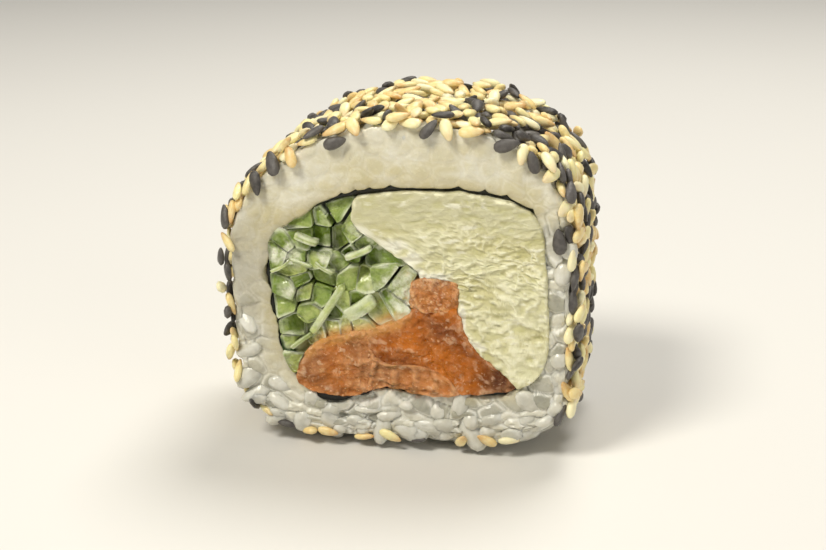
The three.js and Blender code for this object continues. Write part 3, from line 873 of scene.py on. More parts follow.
def rice_wall(sizes, around=700):
    """The rice wall: its section, carried round between the seaweed's outline and the outer outline. The
    inner edge hangs over the seaweed, the cut faces have their relief, and the outside dips between the
    grains of a dome field."""
    section = wall_section()
    share, rim, y, side = (section[:, k][None] for k in range(4))
    turn = np.arange(around) / around
    inner_angle = even_angles(HOLLOW, turn)
    inner_x, inner_z = outline_point(HOLLOW, inner_angle, -0.1)
    outer_x, outer_z = outline_point(RICE, even_angles(RICE, turn), SKIN)
    inner = np.stack(drifted(inner_x[:, None], inner_z[:, None], y), -1)
    outward = np.stack([outer_x, outer_z], -1)[:, None] - inner
    wall = np.linalg.norm(outward, axis=-1)
    outward /= wall[..., None]
    crossed = share * (wall - RIM_RADIUS) + rim * RIM_RADIUS
    lip = wall_lip(turn, inner_angle, inner_z)[:, None]
    hang = lip * np.clip(1 - crossed / 2.4, 0, 1) ** 2 * (np.abs(side) > 0) * (share < 0.9)
    along = np.roll([inner_x, inner_z], -1, axis=1) - np.roll([inner_x, inner_z], 1, axis=1)
    away = np.stack([along[1], -along[0]], 1) / np.hypot(*along)[:, None]
    flat = inner + outward * crossed[..., None] - away[:, None] * hang[..., None]
    x, z = flat[..., 0], flat[..., 1]
    loose = looseness(x, z)
    dip, gap, tone, ripple = cut_relief(x, z, side, loose, sizes.grain_relief / MM)
    dip = dip + (0.12 + 0.12 * np.maximum(hang, 0)) * np.exp(-crossed / 0.5)
    length = way_round(RICE)
    outer_walk = (turn * length)[:, None] + 0 * y
    coat, coat_tone = grain_field(
        outer_walk,
        y + 0 * outer_walk,
        cell=(length / COAT_GRAINS_ROUND, COAT_GRAIN_DEPTH),
        half_length=2.1,
        half_width=1.35,
        seed=53,
        wrap=COAT_GRAINS_ROUND,
    )
    outside = np.clip(1 - np.abs(side), 0, 1) * (share >= 1)
    lumps = 0.7 * (1 - coat) * np.maximum(outside, 0.6 * loose * (share >= 1))
    points = in_space(flat - outward * lumps[..., None], y - side * dip)
    lift_edges(points, share)
    attributes = {
        "loose": np.maximum(loose, outside * 0.9),
        # painted shade: how far the lower left of the front face is darkened
        "shade": (1 - ramp(x + 3 * (ripple - 0.5), -19, -13)) * (1 - ramp(z, 22, 37)) * (side < 0),
        # band along each grain's border: buried grains on smeared rice, and on loose grains a paler edge,
        # partly a painted highlight
        "outline": np.exp(-(((gap - 0.17) / 0.1) ** 2)) * (outside < 0.5),
        "tone": np.where(outside > 0.5, coat_tone, tone),
        "outward": np.clip(crossed / wall, 0, 1),
    }
    faces = ring_faces(around, section.shape[0], wrap_rows=True)
    return make_piece("rice_wall", points.reshape(-1, 3), faces, attributes=attributes)


def pick_spots(candidates, least, keep):
    """Goes through candidate places in order and keeps each that lies at least a distance from all kept."""
    kept = np.zeros((0, candidates.shape[1]))
    for spot in candidates:
        if len(kept) and (np.linalg.norm(kept - spot, axis=1) < least).any():
            continue
        kept = np.vstack([kept, spot])
        if len(kept) >= keep:
            break
    return kept


def surface_frame(walked):
    """Place and outward normal on the rice's outer outline at distances walked round it."""
    angle_table, walk_table = walk_round(RICE)
    walked = np.mod(walked, walk_table[-1])
    angle = np.interp(walked, walk_table, angle_table)
    ahead = np.interp(np.mod(walked + 0.05, walk_table[-1]), walk_table, angle_table)
    x, z = outline_point(RICE, angle, SKIN)
    ahead_x, ahead_z = outline_point(RICE, ahead, SKIN)
    along = np.stack([ahead_x - x, ahead_z - z], 1)
    along /= np.linalg.norm(along, axis=1, keepdims=True)
    return np.stack([x, z], 1), np.stack([along[:, 1], -along[:, 0]], 1)


def face_grains(random, side):
    """Loose grains of one cut face: spots in the rice wall where it is loose, most along its outer edge,
    each turned any way and set behind the face so that a cap of it stands out."""
    spots = random.uniform((-21, 0.6), (21, 34), (9000, 2))
    room = room_inside(RICE, *spots.T)
    in_wall = (room > 0.9) & (room_inside(HOLLOW, *spots.T) < -0.9)
    chance = looseness(*spots.T) ** 2 * np.where(room < 2.4, 1.0, 0.2) * np.where(spots[:, 1] > 9, 0.25, 1)
    in_wall &= random.uniform(size=len(spots)) < chance
    spots = pick_spots(spots[in_wall], least=2.6, keep=75)
    count = len(spots)
    centres = in_space(spots, side * (FACE_Y - random.uniform(1.0, 1.65, count)))
    normals = random.normal(size=(count, 3)) * [1, 0.3, 1]
    normals[:, 1] += np.where(random.uniform(size=count) < 0.6, 2.0 * side, 0)
    return centres, normals


def outside_grains(random):
    """Grains of the outer surface, lying flat in it, half sunk."""
    length = way_round(RICE)
    spots = random.uniform((0, -11.4), (length, 11.4), (5000, 2))
    walked, y = pick_spots(spots, least=2.5, keep=420).T
    place, normal = surface_frame(walked)
    buried = 0.3 + 0.6 * ramp(np.abs(y), 7, 11)
    sunk = random.uniform(0.6, 0.95, len(y)) + buried * ramp(place[:, 1], 12, 24)
    keep = (np.abs(y) < 9.6) | (place[:, 1] < 9)
    return in_space(place - normal * sunk[:, None], y)[keep], in_space(normal, 0 * y)[keep]


def rice_grains(sizes):
    """Single grains: lozenges of grain size at their spots, pressed flat where they pass a cut face."""
    random = np.random.default_rng(3)
    groups = [face_grains(random, -1), face_grains(random, 1), outside_grains(random)]
    centres, normals = (np.vstack(parts) for parts in zip(*groups))
    count = len(centres)
    axes = turned_axes(normals, random.uniform(0, TURN, count))
    size = random.uniform(0.85, 1.12, (count, 1))
    scales = size * np.array([[sizes.grain_length, sizes.grain_width, 0.9 * sizes.grain_width]]) / MM
    template, quads, triangles = lozenge(6, 8, taper=0.1, squareness=2.6)
    points = lay_copies(template, centres, axes, scales)
    reach = FACE_Y + random.uniform(-0.25, 0.22, (count, 1))
    over = np.maximum(np.abs(points[..., 1]) - reach, 0)
    points[..., 1] -= np.sign(points[..., 1]) * 0.86 * over
    lift_edges(points, 1)
    attributes = {"tone": random.uniform(size=count), "cut": ramp(over, 0.15, 0.7)}
    return make_copies("rice_grains", points, quads, triangles, attributes)


# Sesame.


def clear_seeds(centres, axes, sizes):
    """Goes through seeds in order and keeps each that five places along its length find clear of all kept
    ones. Distances along a seed's own normal count more, by its width over its thickness, so that seeds
    may lie on each other but not in each other."""
    reach = 0.33 * sizes.seed_length / MM
    least = sizes.seed_spacing / MM
    flatness = sizes.seed_width / sizes.seed_thickness
    places = centres[:, None] + axes[:, :1] * np.linspace(-reach, reach, 5)[:, None]
    taken, kept = np.zeros((0, 3)), []
    for n, five in enumerate(places):
        near = taken[np.abs(taken - centres[n]).max(1) < 2 * reach + least]
        apart = near[:, None] - five[None]
        rise = apart @ axes[n, 2]
        if len(near) and ((apart**2).sum(2) + (flatness**2 - 1) * rise**2).min() < least**2:
            continue
        taken = np.vstack([taken, five])
        kept.append(n)
    return np.array(kept)


def coat_seeds(random, sizes, count, low, high, tip):
    """Candidates for one layer of the coat: places on the outside from the lower right corner over the
    top to the lower left one, lifted off between two shares of a seed's thickness, tipped, and flared out
    near the rims."""
    start, length = sesame_range()
    walked, y = random.uniform((0, -FACE_Y + 0.2), (length, FACE_Y - 0.2), (count, 2)).T
    height = random.uniform(low, high, count) * sizes.seed_thickness / MM
    place, normal = surface_frame(start + walked)
    flare = np.sign(y) * 0.5 * ramp(np.abs(y), 9.5, 12.5) + tip * random.normal(size=count)
    roll = tip * random.normal(size=(count, 1)) * np.stack([-normal[:, 1], normal[:, 0]], 1)
    centres = in_space(place + normal * height[:, None], y)
    normals = in_space(normal + roll, flare)
    turns = random.uniform(0, math.pi, count)
    bare = (place[:, 0] < 0) * (1 - ramp(place[:, 1], 10, 26)) * (0.75 + 0.2 * ramp(np.abs(y), 6, 10))
    keep = random.uniform(size=count) > bare
    return centres[keep], normals[keep], turns[keep]


def rim_seeds(random, sizes, count):
    """Candidates that hang over the rims: round the rim's quarter circle at an angle between the outside's
    normal and the cut face's, most with their length along the rim, fewer low on the left."""
    start, length = sesame_range()
    walked = random.uniform(0, length, count)
    side = np.where(np.arange(count) % 2, -1.0, 1.0)
    place, normal = surface_frame(start + walked)
    low_left = (place[:, 0] < 0) * (1 - ramp(place[:, 1], 16, 32)) * 0.97
    keep = random.uniform(size=count) > low_left
    bend = np.radians(random.uniform(0, 62, count) * (0.7 + 0.3 * ramp(place[:, 1], 18, 34)))
    out, along = np.cos(bend), np.sin(bend)
    lifted = RIM_RADIUS + random.uniform(0.15, 0.7, count) * sizes.seed_thickness / MM
    flat = place + normal * (out * lifted - RIM_RADIUS)[:, None]
    centres = in_space(flat, side * (FACE_Y - RIM_RADIUS + along * lifted))
    normals = in_space(normal * out[:, None], side * along) + 0.14 * random.normal(size=(count, 3))
    turns = 0.5 * math.pi * (random.uniform(size=count) < 0.14) + 0.45 * random.normal(size=count)
    return centres[keep], normals[keep], turns[keep]


def sesame_range():
    """Where the coat starts on the outer outline, at the lower right, and how far it goes round."""
    angle_table, walk_table = walk_round(RICE)
    low, high = np.interp(np.radians([-48, 234]) % TURN, angle_table, walk_table)
    return low, (high - low) % walk_table[-1]


# Black seeds that slid onto the cut faces: x, z and the angle of the seed's length in degrees.
FACE_SEEDS = (
    (13.1, 39.9, 15), (15.0, 38.3, 112), (16.3, 38.0, 106), (18.1, 36.9, 140), (-7.4, 39.4, 20),
    (19.6, 28.6, 96),
)


def face_seeds():
    """Seeds that slid onto the cut faces, with their length at the given angle, leaning on the face."""
    x, z, degrees = (np.tile(values, 2) for values in np.array(FACE_SEEDS).T)
    side = np.repeat([-1.0, 1.0], len(FACE_SEEDS))
    centres = np.stack([x - (side > 0) * 1.1, side * (FACE_Y + 0.3), z - (side > 0) * 0.4], 1)
    along = np.radians(degrees)
    axes = np.zeros((len(x), 3, 3))
    axes[:, 0] = np.stack([np.cos(along), 0 * x, np.sin(along)], 1)
    axes[:, 2, 1] = side
    axes[:, 1] = np.cross(axes[:, 2], axes[:, 0])
    return centres, axes


def under_seeds(random):
    """Seeds caught under the underside's edges: half sunk, round the quarter circles of its two rims."""
    count = 60
    x = random.uniform(-14.5, 15.5, count)
    side = np.where(np.arange(count) % 2, -1.0, 1.0)
    bend = random.uniform(0.2, 1.2, count)
    below = outline_point(RICE, np.radians(np.arange(230, 311)), SKIN)
    reach = RIM_RADIUS + 0.1
    y = side * (FACE_Y - RIM_RADIUS + reach * np.sin(bend))
    z = np.interp(x, *below) + RIM_RADIUS - reach * np.cos(bend)
    normals = np.stack([0.15 * random.normal(size=count), side * np.sin(bend), -np.cos(bend)], 1)
    turns = 0.7 * random.normal(size=count)
    return np.stack([x, y, z], 1), normals, turns


def sesame(sizes, colours):
    """All seeds as flat teardrops, split into a pale piece and a black piece. Black seeds are scattered,
    and gather at the upper right."""
    random = np.random.default_rng(12)
    groups = [
        rim_seeds(random, sizes, 500),
        coat_seeds(random, sizes, 7000, low=0.1, high=0.5, tip=0.15),
        under_seeds(random),
        rim_seeds(random, sizes, 1500),
        coat_seeds(random, sizes, 7000, low=0.8, high=1.35, tip=0.35),
        coat_seeds(random, sizes, 4000, low=0.3, high=0.8, tip=0.7),
    ]
    centres, normals, turns = (np.concatenate(parts) for parts in zip(*groups))
    centres[:, 2] += edge_lift(centres[:, 1], centres[:, 2])
    axes = turned_axes(normals, turns)
    axes[random.uniform(size=len(centres)) < 0.5] *= [[-1], [-1], [1]]
    first_centres, first_axes = face_seeds()
    centres, axes = np.vstack([first_centres, centres]), np.vstack([first_axes, axes])
    size = random.uniform(0.88, 1.1, (len(centres), 1))
    scales = size * np.array([[sizes.seed_length, sizes.seed_width, sizes.seed_thickness]]) / MM
    template, quads, triangles = lozenge(6, 8, taper=0.28, squareness=2.2)
    points = lay_copies(template, centres, axes, scales)
    points[..., 2] = np.maximum(points[..., 2], 0.02)
    fits = np.flatnonzero((np.abs(points) <= SEED_ROOM).all((1, 2)))
    kept = fits[clear_seeds(centres[fits], axes[fits], sizes)]
    points, centres = points[kept], centres[kept]
    away = (centres[:, 0] - BLACK_CLUSTER["x"]) ** 2 + (centres[:, 2] - BLACK_CLUSTER["z"]) ** 2
    cluster = np.exp(-away / BLACK_CLUSTER["squared_width"]) * (centres[:, 1] < 2)
    black = random.uniform(size=len(centres)) < sizes.black_share * (0.85 + 0.9 * cluster)
    black |= kept < len(first_centres)
    tone = random.uniform(size=len(centres))
    tip = np.tile(template[:, 0] + 0.5, (len(centres), 1))
    kinds = (("sesame_pale", ~black, pale_sesame_material), ("sesame_black", black, black_sesame_material))
    for name, chosen, material in kinds:
        attributes = {"tone": tone[chosen], "tip": tip[chosen]}
        seeds = make_copies(name, points[chosen], quads, triangles, attributes)
        dress(seeds, material(colours), "rice")


# Seaweed and filling.


def seaweed_band(around=540, along=30):
    """The seaweed: a band between two offsets of the hollow's outline, crinkled by noise and drawn out into
    points between the rice grains."""
    turn = np.arange(around) / around
    angle = even_angles(HOLLOW, turn)
    walked = turn * way_round(HOLLOW)
    reach = FACE_Y - BAND_SET_BACK
    y = np.concatenate([np.linspace(-reach, reach, along), np.linspace(reach, -reach, along)])[None]
    outer = (np.arange(2 * along) < along)[None]
    wave = layered_noise(80 * turn[:, None], y / 3, 3, 71, 80) - 0.5
    (x_out, z_out), (x_in, z_in) = (outline_point(HOLLOW, angle, inset) for inset in BAND_INSETS)
    outward = np.stack([x_out - x_in, z_out - z_in], -1)
    outward /= np.linalg.norm(outward, axis=-1, keepdims=True)
    over = overhang(angle)[:, None]
    bare = ramp(-over, 0.3, 1.1)
    grow = outer * (0.45 * (cusps(walked) * ramp(z_out, 29, 32))[:, None] + 0.8 * bare) + 0.14 * wave
    x = np.where(outer, x_out[:, None], x_in[:, None])
    z = np.where(outer, z_out[:, None], z_in[:, None])
    x, z = drifted(x, z, y)
    x, z = x + outward[:, :1] * grow, z + outward[:, 1:] * grow
    ends = 0.5 * (layered_noise(60 * turn[:, None], 0 * y, 3, 72, 60) - 0.5)
    ends = ends - 1.3 * ramp(over, 0.1, 0.6) + 0.5 * bare * outer
    points = np.stack([x, y + ends * (np.abs(y) > 0.95 * reach) * np.sign(y), z], -1)
    return make_piece("seaweed_band", points.reshape(-1, 3), ring_faces(around, 2 * along, wrap_rows=True))


def ragged_border(zone, depth, seed):
    """The smooth closed curve through a zone's points, with each of its points moved by noise."""
    curve = smooth_curve(zone, True)
    for axis in (0, 1):
        shift = layered_noise(curve[:-1, 0] / 1.1 + 31 * axis, curve[:-1, 1] / 1.1, 4, seed + axis) - 0.5
        curve[:-1, axis] += depth * shift
    curve[-1] = curve[0]
    return curve


def hollow_edge(inset):
    """The hollow's outline, set in, as a line of points."""
    return np.stack(outline_point(HOLLOW, np.linspace(0, TURN, 721), inset), 1)


# The lines that part the pieces of the filling. The shared ones bound the cucumber and the cream cheese.
FILLING_EDGE = hollow_edge(SEAWEED_THICKNESS + CLEARANCE)
SALMON_ROOM = hollow_edge(0.1)  # salmon may press into the seaweed
SALMON_EDGE = ragged_border(SALMON_ZONE, depth=0.5, seed=51)
CUCUMBER_EDGE = ragged_border(CUCUMBER_ZONE, depth=0.9, seed=52)
SHARED_EDGES = (CUCUMBER_EDGE, FILLING_EDGE, SALMON_EDGE)
LOBE_LINE = smooth_curve(LOBE_CREASE, False)
STRIP_LINE = smooth_curve(STRIP_CREASE, False)


# Patches of wet pale film on the cut faces: x, z, half width and half height.
FILMS = (
    (0.3, 22.3, 2.9, 2.5), (2.4, 23.6, 1.8, 1.0), (4.6, 22.9, 2.6, 1.1), (-4.4, 28.4, 1.5, 0.8),
    (-1.2, 26.8, 2.8, 1.0), (1.4, 25.2, 1.8, 0.8), (-10.9, 14.9, 1.2, 1.0), (-14.2, 25.0, 2.0, 1.6),
    (0.5, 19.2, 2.0, 1.1), (-13.5, 20.0, 1.2, 0.8), (8.0, 18.0, 0.6, 2.4), (9.6, 14.6, 1.4, 0.8),
    (6.3, 15.2, 1.1, 0.7), (-9.0, 25.0, 1.2, 1.4), (-7.5, 10.0, 0.8, 0.8), (-1.0, 13.6, 2.0, 0.5),
    (7.5, 9.6, 0.8, 1.4),
)


def film_share(x, z):
    """How much pale film lies at places on a cut face: full in the middle of each patch, broken up by noise
    and gone at its ragged edge."""
    ragged = 1.6 * (layered_noise(x / 0.9, z / 0.9, 4, 64) - 0.5)
    shares = [1 - ramp(np.hypot((x - u) / w, (z - v) / h) + ragged, 0.5, 1.15) for u, v, w, h in FILMS]
    return np.max(shares, 0)


def distance_to(edge, x, z):
    """Distance from places on a cut face to the nearest point of an edge."""
    return np.hypot(np.asarray(x)[..., None] - edge[:, 0], np.asarray(z)[..., None] - edge[:, 1]).min(-1)


def filling_piece(
    name, middle, edges, relief, seed, around=300, rings=44, rounding=0.4, ragged=0.0, grow=0.0
):
    """A block of the filling that runs from face to face: a rod whose outline, seen from its middle, is the
    nearest of several edges in each direction. relief gives the height, and any attributes, at a place on a
    face."""
    angle = np.linspace(0, TURN, around, endpoint=False)
    reach = np.min([first_hit(middle, angle, edge) for edge in edges], 0)
    border = layered_noise(36 / TURN * angle, 0 * angle, 3, seed, 36) - 0.5
    reach = blur_round(reach, 1) + grow + ragged * border
    ends = np.array([-1, 1]) * (FACE_Y - FILLING_SET_BACK)
    side_y = np.linspace(-1, 1, 12)[1:-1] * (FACE_Y - 1)
    radius, y, push = rod(reach, rounding, rings, steps=4, ends=ends, side_y=side_y)
    x, z = drifted(middle[0] + radius * np.cos(angle), middle[1] + radius * np.sin(angle), y)
    height, attributes = relief(x, z, np.where(push < 0, 0, 1), radius / reach)
    attributes["film"] = film_share(x, z)
    y = y + push * height
    front_pole = [middle[0], y[0].mean(), middle[1]]
    back_pole = [middle[0] + DRIFT[0], y[-1].mean(), middle[1] + DRIFT[1]]
    points = np.vstack([np.stack([x, y, z], -1).reshape(-1, 3), front_pole, back_pole])
    values = {key: pole_values(grid) for key, grid in attributes.items()}
    quads, triangles = ring_faces(len(y), around)[:, ::-1], pole_faces(len(y), around)[:, ::-1]
    return make_piece(name, points, quads, triangles, values)


def cheese_relief(x, z, back, share):
    """Cream cheese torn by the knife: wavy ridges that run across, 1 less the distance from a noise's
    middle value, bent by another noise, weaker towards the top, on lower and broader swells."""
    bend = 2.4 * (layered_noise(x / 7, z / 6 + 40 * back, 3, 81) - 0.5)
    ridge = 1 - np.abs(2 * layered_noise(x / 1.9 + bend, z / 0.85 + 1.2 * bend + 50 * back, 4, 82) - 1)
    lumps = layered_noise(x / 0.8, z / 0.5 + 60 * back, 3, 83)
    swell = layered_noise(x / 4, z / 2.5 + 20 * back, 3, 84)
    crumbly = 0.5 + 0.5 * (1 - ramp(z + 2.5 * bend, 25, 31))
    crest = ridge**3
    height = crumbly * (0.42 * (crest - 0.4) + 0.42 * (lumps - 0.5)) + 0.5 * (swell - 0.5)
    pale_rim = 0.75 * ramp(share, 0.93, 1) * ramp(z, 30, 33) * ramp(lumps, 0.3, 0.7)
    # crest sets the painted shade in the furrows and the paler crests, partly a painted highlight
    torn = crumbly * crest * (0.4 + 1.1 * lumps) + pale_rim
    # upper sets the painted shade over the cheese's top
    return height, {"crest": torn, "upper": ramp(z + 2 * swell, 26, 34)}


def salmon_relief(bands, seed):
    """Salmon flesh: rounded lumps with finer ones on them, thin towards the right tip, and with curved
    bands of fat where asked, which are rings round a place up on the left. The lobe's top and the lower
    strip's middle are pale, and the lobe's sides dark."""

    def relief(x, z, back, share):
        lumps = layered_noise(x / 2.0, z / 1.7 + 30 * back, 4, seed)
        fine = layered_noise(x / 0.7, z / 0.6 + 30 * back, 4, seed + 1)
        sweep = np.hypot(x + 9, 0.8 * (z - 12)) / 2.3 + 0.8 * layered_noise(x / 3, z / 3, 3, seed + 2)
        fat = bands * ramp(np.sin(TURN * sweep), 0.35, 0.95) * ramp(x, -6, -2) * (0.6 + 0.9 * fine)
        flank = ramp(z, 19.2, 20.2) * (1 - ramp(z, 21.6, 22.8))
        pale_edge = ramp(share, 0.8, 1.0) * ramp(fine, 0.35, 0.6) * (1 - flank)
        thin = ramp(x, 8.5, 13) * (1 - ramp(z, 11, 15)) + 0.4 * flank * ramp(share, 0.55, 0.95)
        height = (0.6 + 0.4 * bands) * (lumps - 0.5) + 0.6 * (fine - 0.5) + 0.4 * fat
        band = 1.3 * fat + (0.5 + 0.4 * bands) * pale_edge + 0.6 * ramp(lumps, 0.55, 0.75) * bands
        belly = ramp(x, -6.5, -2.5) * (1 - ramp(x, 5, 8)) * (z < 18)
        pale = 0.6 * belly * ramp(fine, 0.15, 0.6) + 0.8 * ramp(z, 20.4, 22.6) * ramp(fine, 0.3, 0.65)
        band = band + bands * pale
        near_edge = 1 - ramp(distance_to(SALMON_EDGE, x, z), 0.1, 1.5)
        fade = near_edge * ramp(z, 10.5, 13) * (1 - ramp(x, 0, 2.5))
        return height, {"band": np.clip(band, 0, 1), "thin": thin, "crest": fine, "fade": fade}

    return relief


def stick_middles(sizes):
    """Middles of the cucumber sticks: a jittered lattice over the cucumber's zone."""
    spacing = sizes.strip_spacing / MM
    low, high = CUCUMBER_EDGE.min(0), CUCUMBER_EDGE.max(0)
    columns, rows = (int(math.ceil((h - b) / spacing)) + 1 for b, h in zip(low, high))
    i, j = np.meshgrid(np.arange(columns), np.arange(rows))
    i, j = i.ravel(), j.ravel()
    x = low[0] + spacing * (i + 0.5 * (j % 2) + (lattice_value(i, j, 91) - 0.5))
    z = low[1] + spacing * (j + (lattice_value(i, j, 92) - 0.5))
    middles = np.stack([x, z], 1)
    directions = np.linspace(0, TURN, 12, endpoint=False)
    room = [edge_room(middle, directions) for middle in middles]
    return middles[np.array(room) > 0.3]


def edge_room(middle, angle):
    """Least distance from a place to the cucumber zone's edges, or -1 outside them: a place is inside an
    edge when the edge's points turn round it once."""
    for edge in SHARED_EDGES:
        bearing = np.unwrap(np.arctan2(edge[:, 1] - middle[1], edge[:, 0] - middle[0]))
        inside = abs(bearing[-1] - bearing[0]) > math.pi
        if inside == (edge is SALMON_EDGE):
            return -1.0
    return min(first_hit(middle, angle, edge).min() for edge in SHARED_EDGES)


def stick_reach(sizes, random, angle, middle, others, filmed):
    """A stick's radius in each direction: it takes the room nearer to its middle than to any other's.
    That is half the way to a neighbour, less half the gap, over the cosine to it, and a soft minimum over
    all neighbours and the zone's edges rounds the corners."""
    away = np.hypot(*others.T)
    facing = np.cos(angle[:, None] - np.arctan2(others[:, 1], others[:, 0])[None])
    gap_share = random.uniform(0.0, 0.6) + 2.2 * (random.uniform() < 0.2) * (1 - filmed)
    half_gap = sizes.strip_gap / MM * gap_share
    halves = np.where(facing > 0.05, (away / 2 - half_gap) / np.maximum(facing, 0.05), FAR)
    walls = [np.clip(first_hit(middle, angle, edge) - 0.05, 0.2, FAR) for edge in SHARED_EDGES]
    limits = np.column_stack([halves, *walls])
    return (limits**-STICK_CORNER_POWER).sum(1) ** (-1 / STICK_CORNER_POWER)


def cucumber_stick(sizes, random, angle, middle, others, rings):
    """One stick's points and values: a rod with its own reach, whose ends are set back, tilted, folded and
    bumpy, and less so under a film of starch. It leans a little, some have skin on one side, and salmon
    stains those beside it."""
    filmed = np.maximum(film_share(*middle), 1 - ramp(distance_to(SALMON_EDGE, *middle), 1.0, 2.2))
    reach = stick_reach(sizes, random, angle, middle, others, filmed)
    setback = (random.uniform(0.0, 0.95, 2) + 1.2 * (random.uniform(size=2) < 0.14)) * (1 - filmed)
    ends = np.array([-1, 1]) * (FACE_Y - STICK_SET_BACK - setback)
    radius, y, push = rod(reach, STICK_ROUNDING, rings, steps=3, ends=ends, side_y=np.linspace(-10, 10, 5))
    tilt = random.normal(size=2) * 0.3 * (1 - 0.7 * filmed)
    fold_way = random.uniform(0, TURN)
    fold = random.uniform(-0.4, 0.4) * (1 - filmed)
    x_off, z_off = radius * np.cos(angle), radius * np.sin(angle)
    x, z = middle[0] + x_off, middle[1] + z_off
    bumps = (0.35 + 0.5 * filmed) * (layered_noise(x / 0.7, z / 0.6, 4, 95) - 0.5)
    crease = fold * np.abs(x_off * math.cos(fold_way) + z_off * math.sin(fold_way))
    raised = tilt[0] * x_off + tilt[1] * z_off + bumps + crease
    y = y + push * (raised - raised.max())
    stain = 1 - ramp(distance_to(SALMON_EDGE, x, z), 0.1, 2.7)
    stain = stain * (0.35 + 0.65 * ramp(x, -13, -8))
    lean = random.normal(size=2) * 0.012
    x, z = drifted(x, z, y)
    x, z = x + lean[0] * y, z + lean[1] * y
    tone = random.uniform()
    # which side of the stick's end gets the brightest painted edge highlight
    highlight_side = 0.83 + 0.17 * np.cos(angle - random.uniform(0, TURN))
    outward = radius / reach
    skin_side = random.uniform(0, TURN)
    has_skin = random.uniform() < 0.3
    skin = has_skin * ramp(outward, 0.75, 0.9) * ramp(np.cos(angle - skin_side), 0.3, 0.6)
    grids = {"stain": stain, "edge": outward * highlight_side, "skin": skin, "film": film_share(x, z)}
    values = {"tone": tone, **{key: pole_values(grid) for key, grid in grids.items()}}
    return with_poles(x, y, z), values


def cucumber_sticks(sizes, around=44, rings=9):
    """The bundle of sticks, which share the cucumber's zone."""
    middles = stick_middles(sizes)
    random = np.random.default_rng(8)
    angle = np.linspace(0, TURN, around, endpoint=False)
    shapes, values = [], []
    for n, middle in enumerate(middles):
        others = np.delete(middles, n, 0) - middle
        shape, own = cucumber_stick(sizes, random, angle, middle, others, rings)
        shapes.append(shape)
        values.append(own)
    attributes = {key: np.array([own[key] for own in values]) for key in values[0]}
    rows = (len(shapes[0]) - 2) // around
    quads, triangles = ring_faces(rows, around)[:, ::-1], pole_faces(rows, around)[:, ::-1]
    return make_copies("cucumber_sticks", np.array(shapes), quads, triangles, attributes)


# Slivers of cucumber that lie across the sticks' ends: from x, z to x, z, half width, side of the cut face.
SLIVERS = (
    (-6.7, 21.6, -11, 14.8, 0.5, -1), (-2.9, 20, -6.6, 17.3, 0.9, -1),
    (-12.9, 27.6, -9.9, 26.5, 0.42, -1), (-3.2, 26.4, -6.6, 24.9, 0.4, -1),
    (-16, 22.7, -13.4, 24.3, 0.24, -1), (-13.6, 24.4, -10.6, 23.6, 0.22, -1),
    (-10.4, 24.2, -7.9, 22.9, 0.26, -1), (-13.6, 12.8, -10.9, 14.9, 0.3, -1),
    (-6.2, 19.6, -10.8, 16.7, 0.55, 1), (-12.7, 25, -9, 27.4, 0.5, 1), (-4.4, 25.2, -7.6, 23.2, 0.7, 1),
    (-15.4, 20.2, -12.4, 21.8, 0.25, 1),
)


def cucumber_slivers(rows=18, around=20):
    """Slivers: along each, a squared oval section of its half width, drawn in at both ends and bent a
    little, half sunk between the sticks."""
    random = np.random.default_rng(21)
    along = np.linspace(0, 1, rows)[:, None]
    angle = np.linspace(0, TURN, around, endpoint=False)
    c, s = np.cos(angle), np.sin(angle)
    square = (np.abs(c) ** 8 + np.abs(s) ** 8) ** -0.125
    width = (1 - np.abs(2 * along - 1) ** 12) ** 0.4
    shapes, tones = [], []
    for x0, z0, x1, z1, half, side in SLIVERS:
        way = np.array([x1 - x0, z1 - z0])
        across = np.array([-way[1], way[0]]) / np.hypot(*way)
        bow = 0.12 * random.normal() * np.sin(math.pi * along)
        reach = half * width * square * c + bow
        x = x0 + way[0] * along + across[0] * reach
        z = z0 + way[1] * along + across[1] * reach
        x, z = drifted(x, z, side * FACE_Y)
        depth = 0.8 * width * square * s
        ribs = 0.06 * np.sin(reach * 9)
        y = side * (FACE_Y - 0.86 + 0.2 * (along - 0.5) * random.normal() + ribs) + depth
        shapes.append(with_poles(x, y, z))
        tones.append(random.uniform(0.5, 1.0))
    # how far each point lies towards the sliver's pale edge, partly a painted highlight
    edge = np.append(np.tile(0.7 + 0.3 * np.abs(c), rows), [1, 1])
    plain = np.zeros(len(SLIVERS))
    edges = np.tile(edge, (len(SLIVERS), 1))
    attributes = {"tone": tones, "edge": edges, "stain": plain, "skin": plain, "film": plain}
    quads, triangles = ring_faces(rows, around), pole_faces(rows, around)
    return make_copies("cucumber_slivers", np.array(shapes), quads, triangles, attributes)


# Operators.


class URAMAKI_OT_rice(Operator):
    """Make the rice wall and its single grains"""

    bl_idname = "uramaki.rice"
    bl_label = "Rice"

    def execute(self, context):
        sizes, colours = context.scene.uramaki_sizes, context.scene.uramaki_colours
        dress(rice_wall(sizes), rice_material(colours), "rice", "rice_with_sesame")
        dress(rice_grains(sizes), grain_material(colours), "rice")
        return {"FINISHED"}


class URAMAKI_OT_sesame(Operator):
    """Coat the rice with pale and black sesame seeds"""

    bl_idname = "uramaki.sesame"
    bl_label = "Sesame"

    def execute(self, context):
        sesame(context.scene.uramaki_sizes, context.scene.uramaki_colours)
        return {"FINISHED"}


class URAMAKI_OT_seaweed(Operator):
    """Make the seaweed band between the rice and the filling"""

    bl_idname = "uramaki.seaweed"
    bl_label = "Seaweed"

    def execute(self, context):
        dress(seaweed_band(), seaweed_material(context.scene.uramaki_colours), "seaweed", "seaweed_sheet")
        return {"FINISHED"}


class URAMAKI_OT_cheese(Operator):
    """Make the cream cheese"""

    bl_idname = "uramaki.cheese"
    bl_label = "Cream Cheese"

    def execute(self, context):
        block = filling_piece(
            "cream_cheese_block",
            (10.8, 25.0),
            SHARED_EDGES,
            cheese_relief,
            seed=80,
            around=440,
            rings=60,
            ragged=0.4,
        )
        dress(block, cheese_material(context.scene.uramaki_colours), "cream_cheese", "cream_cheese")
        return {"FINISHED"}


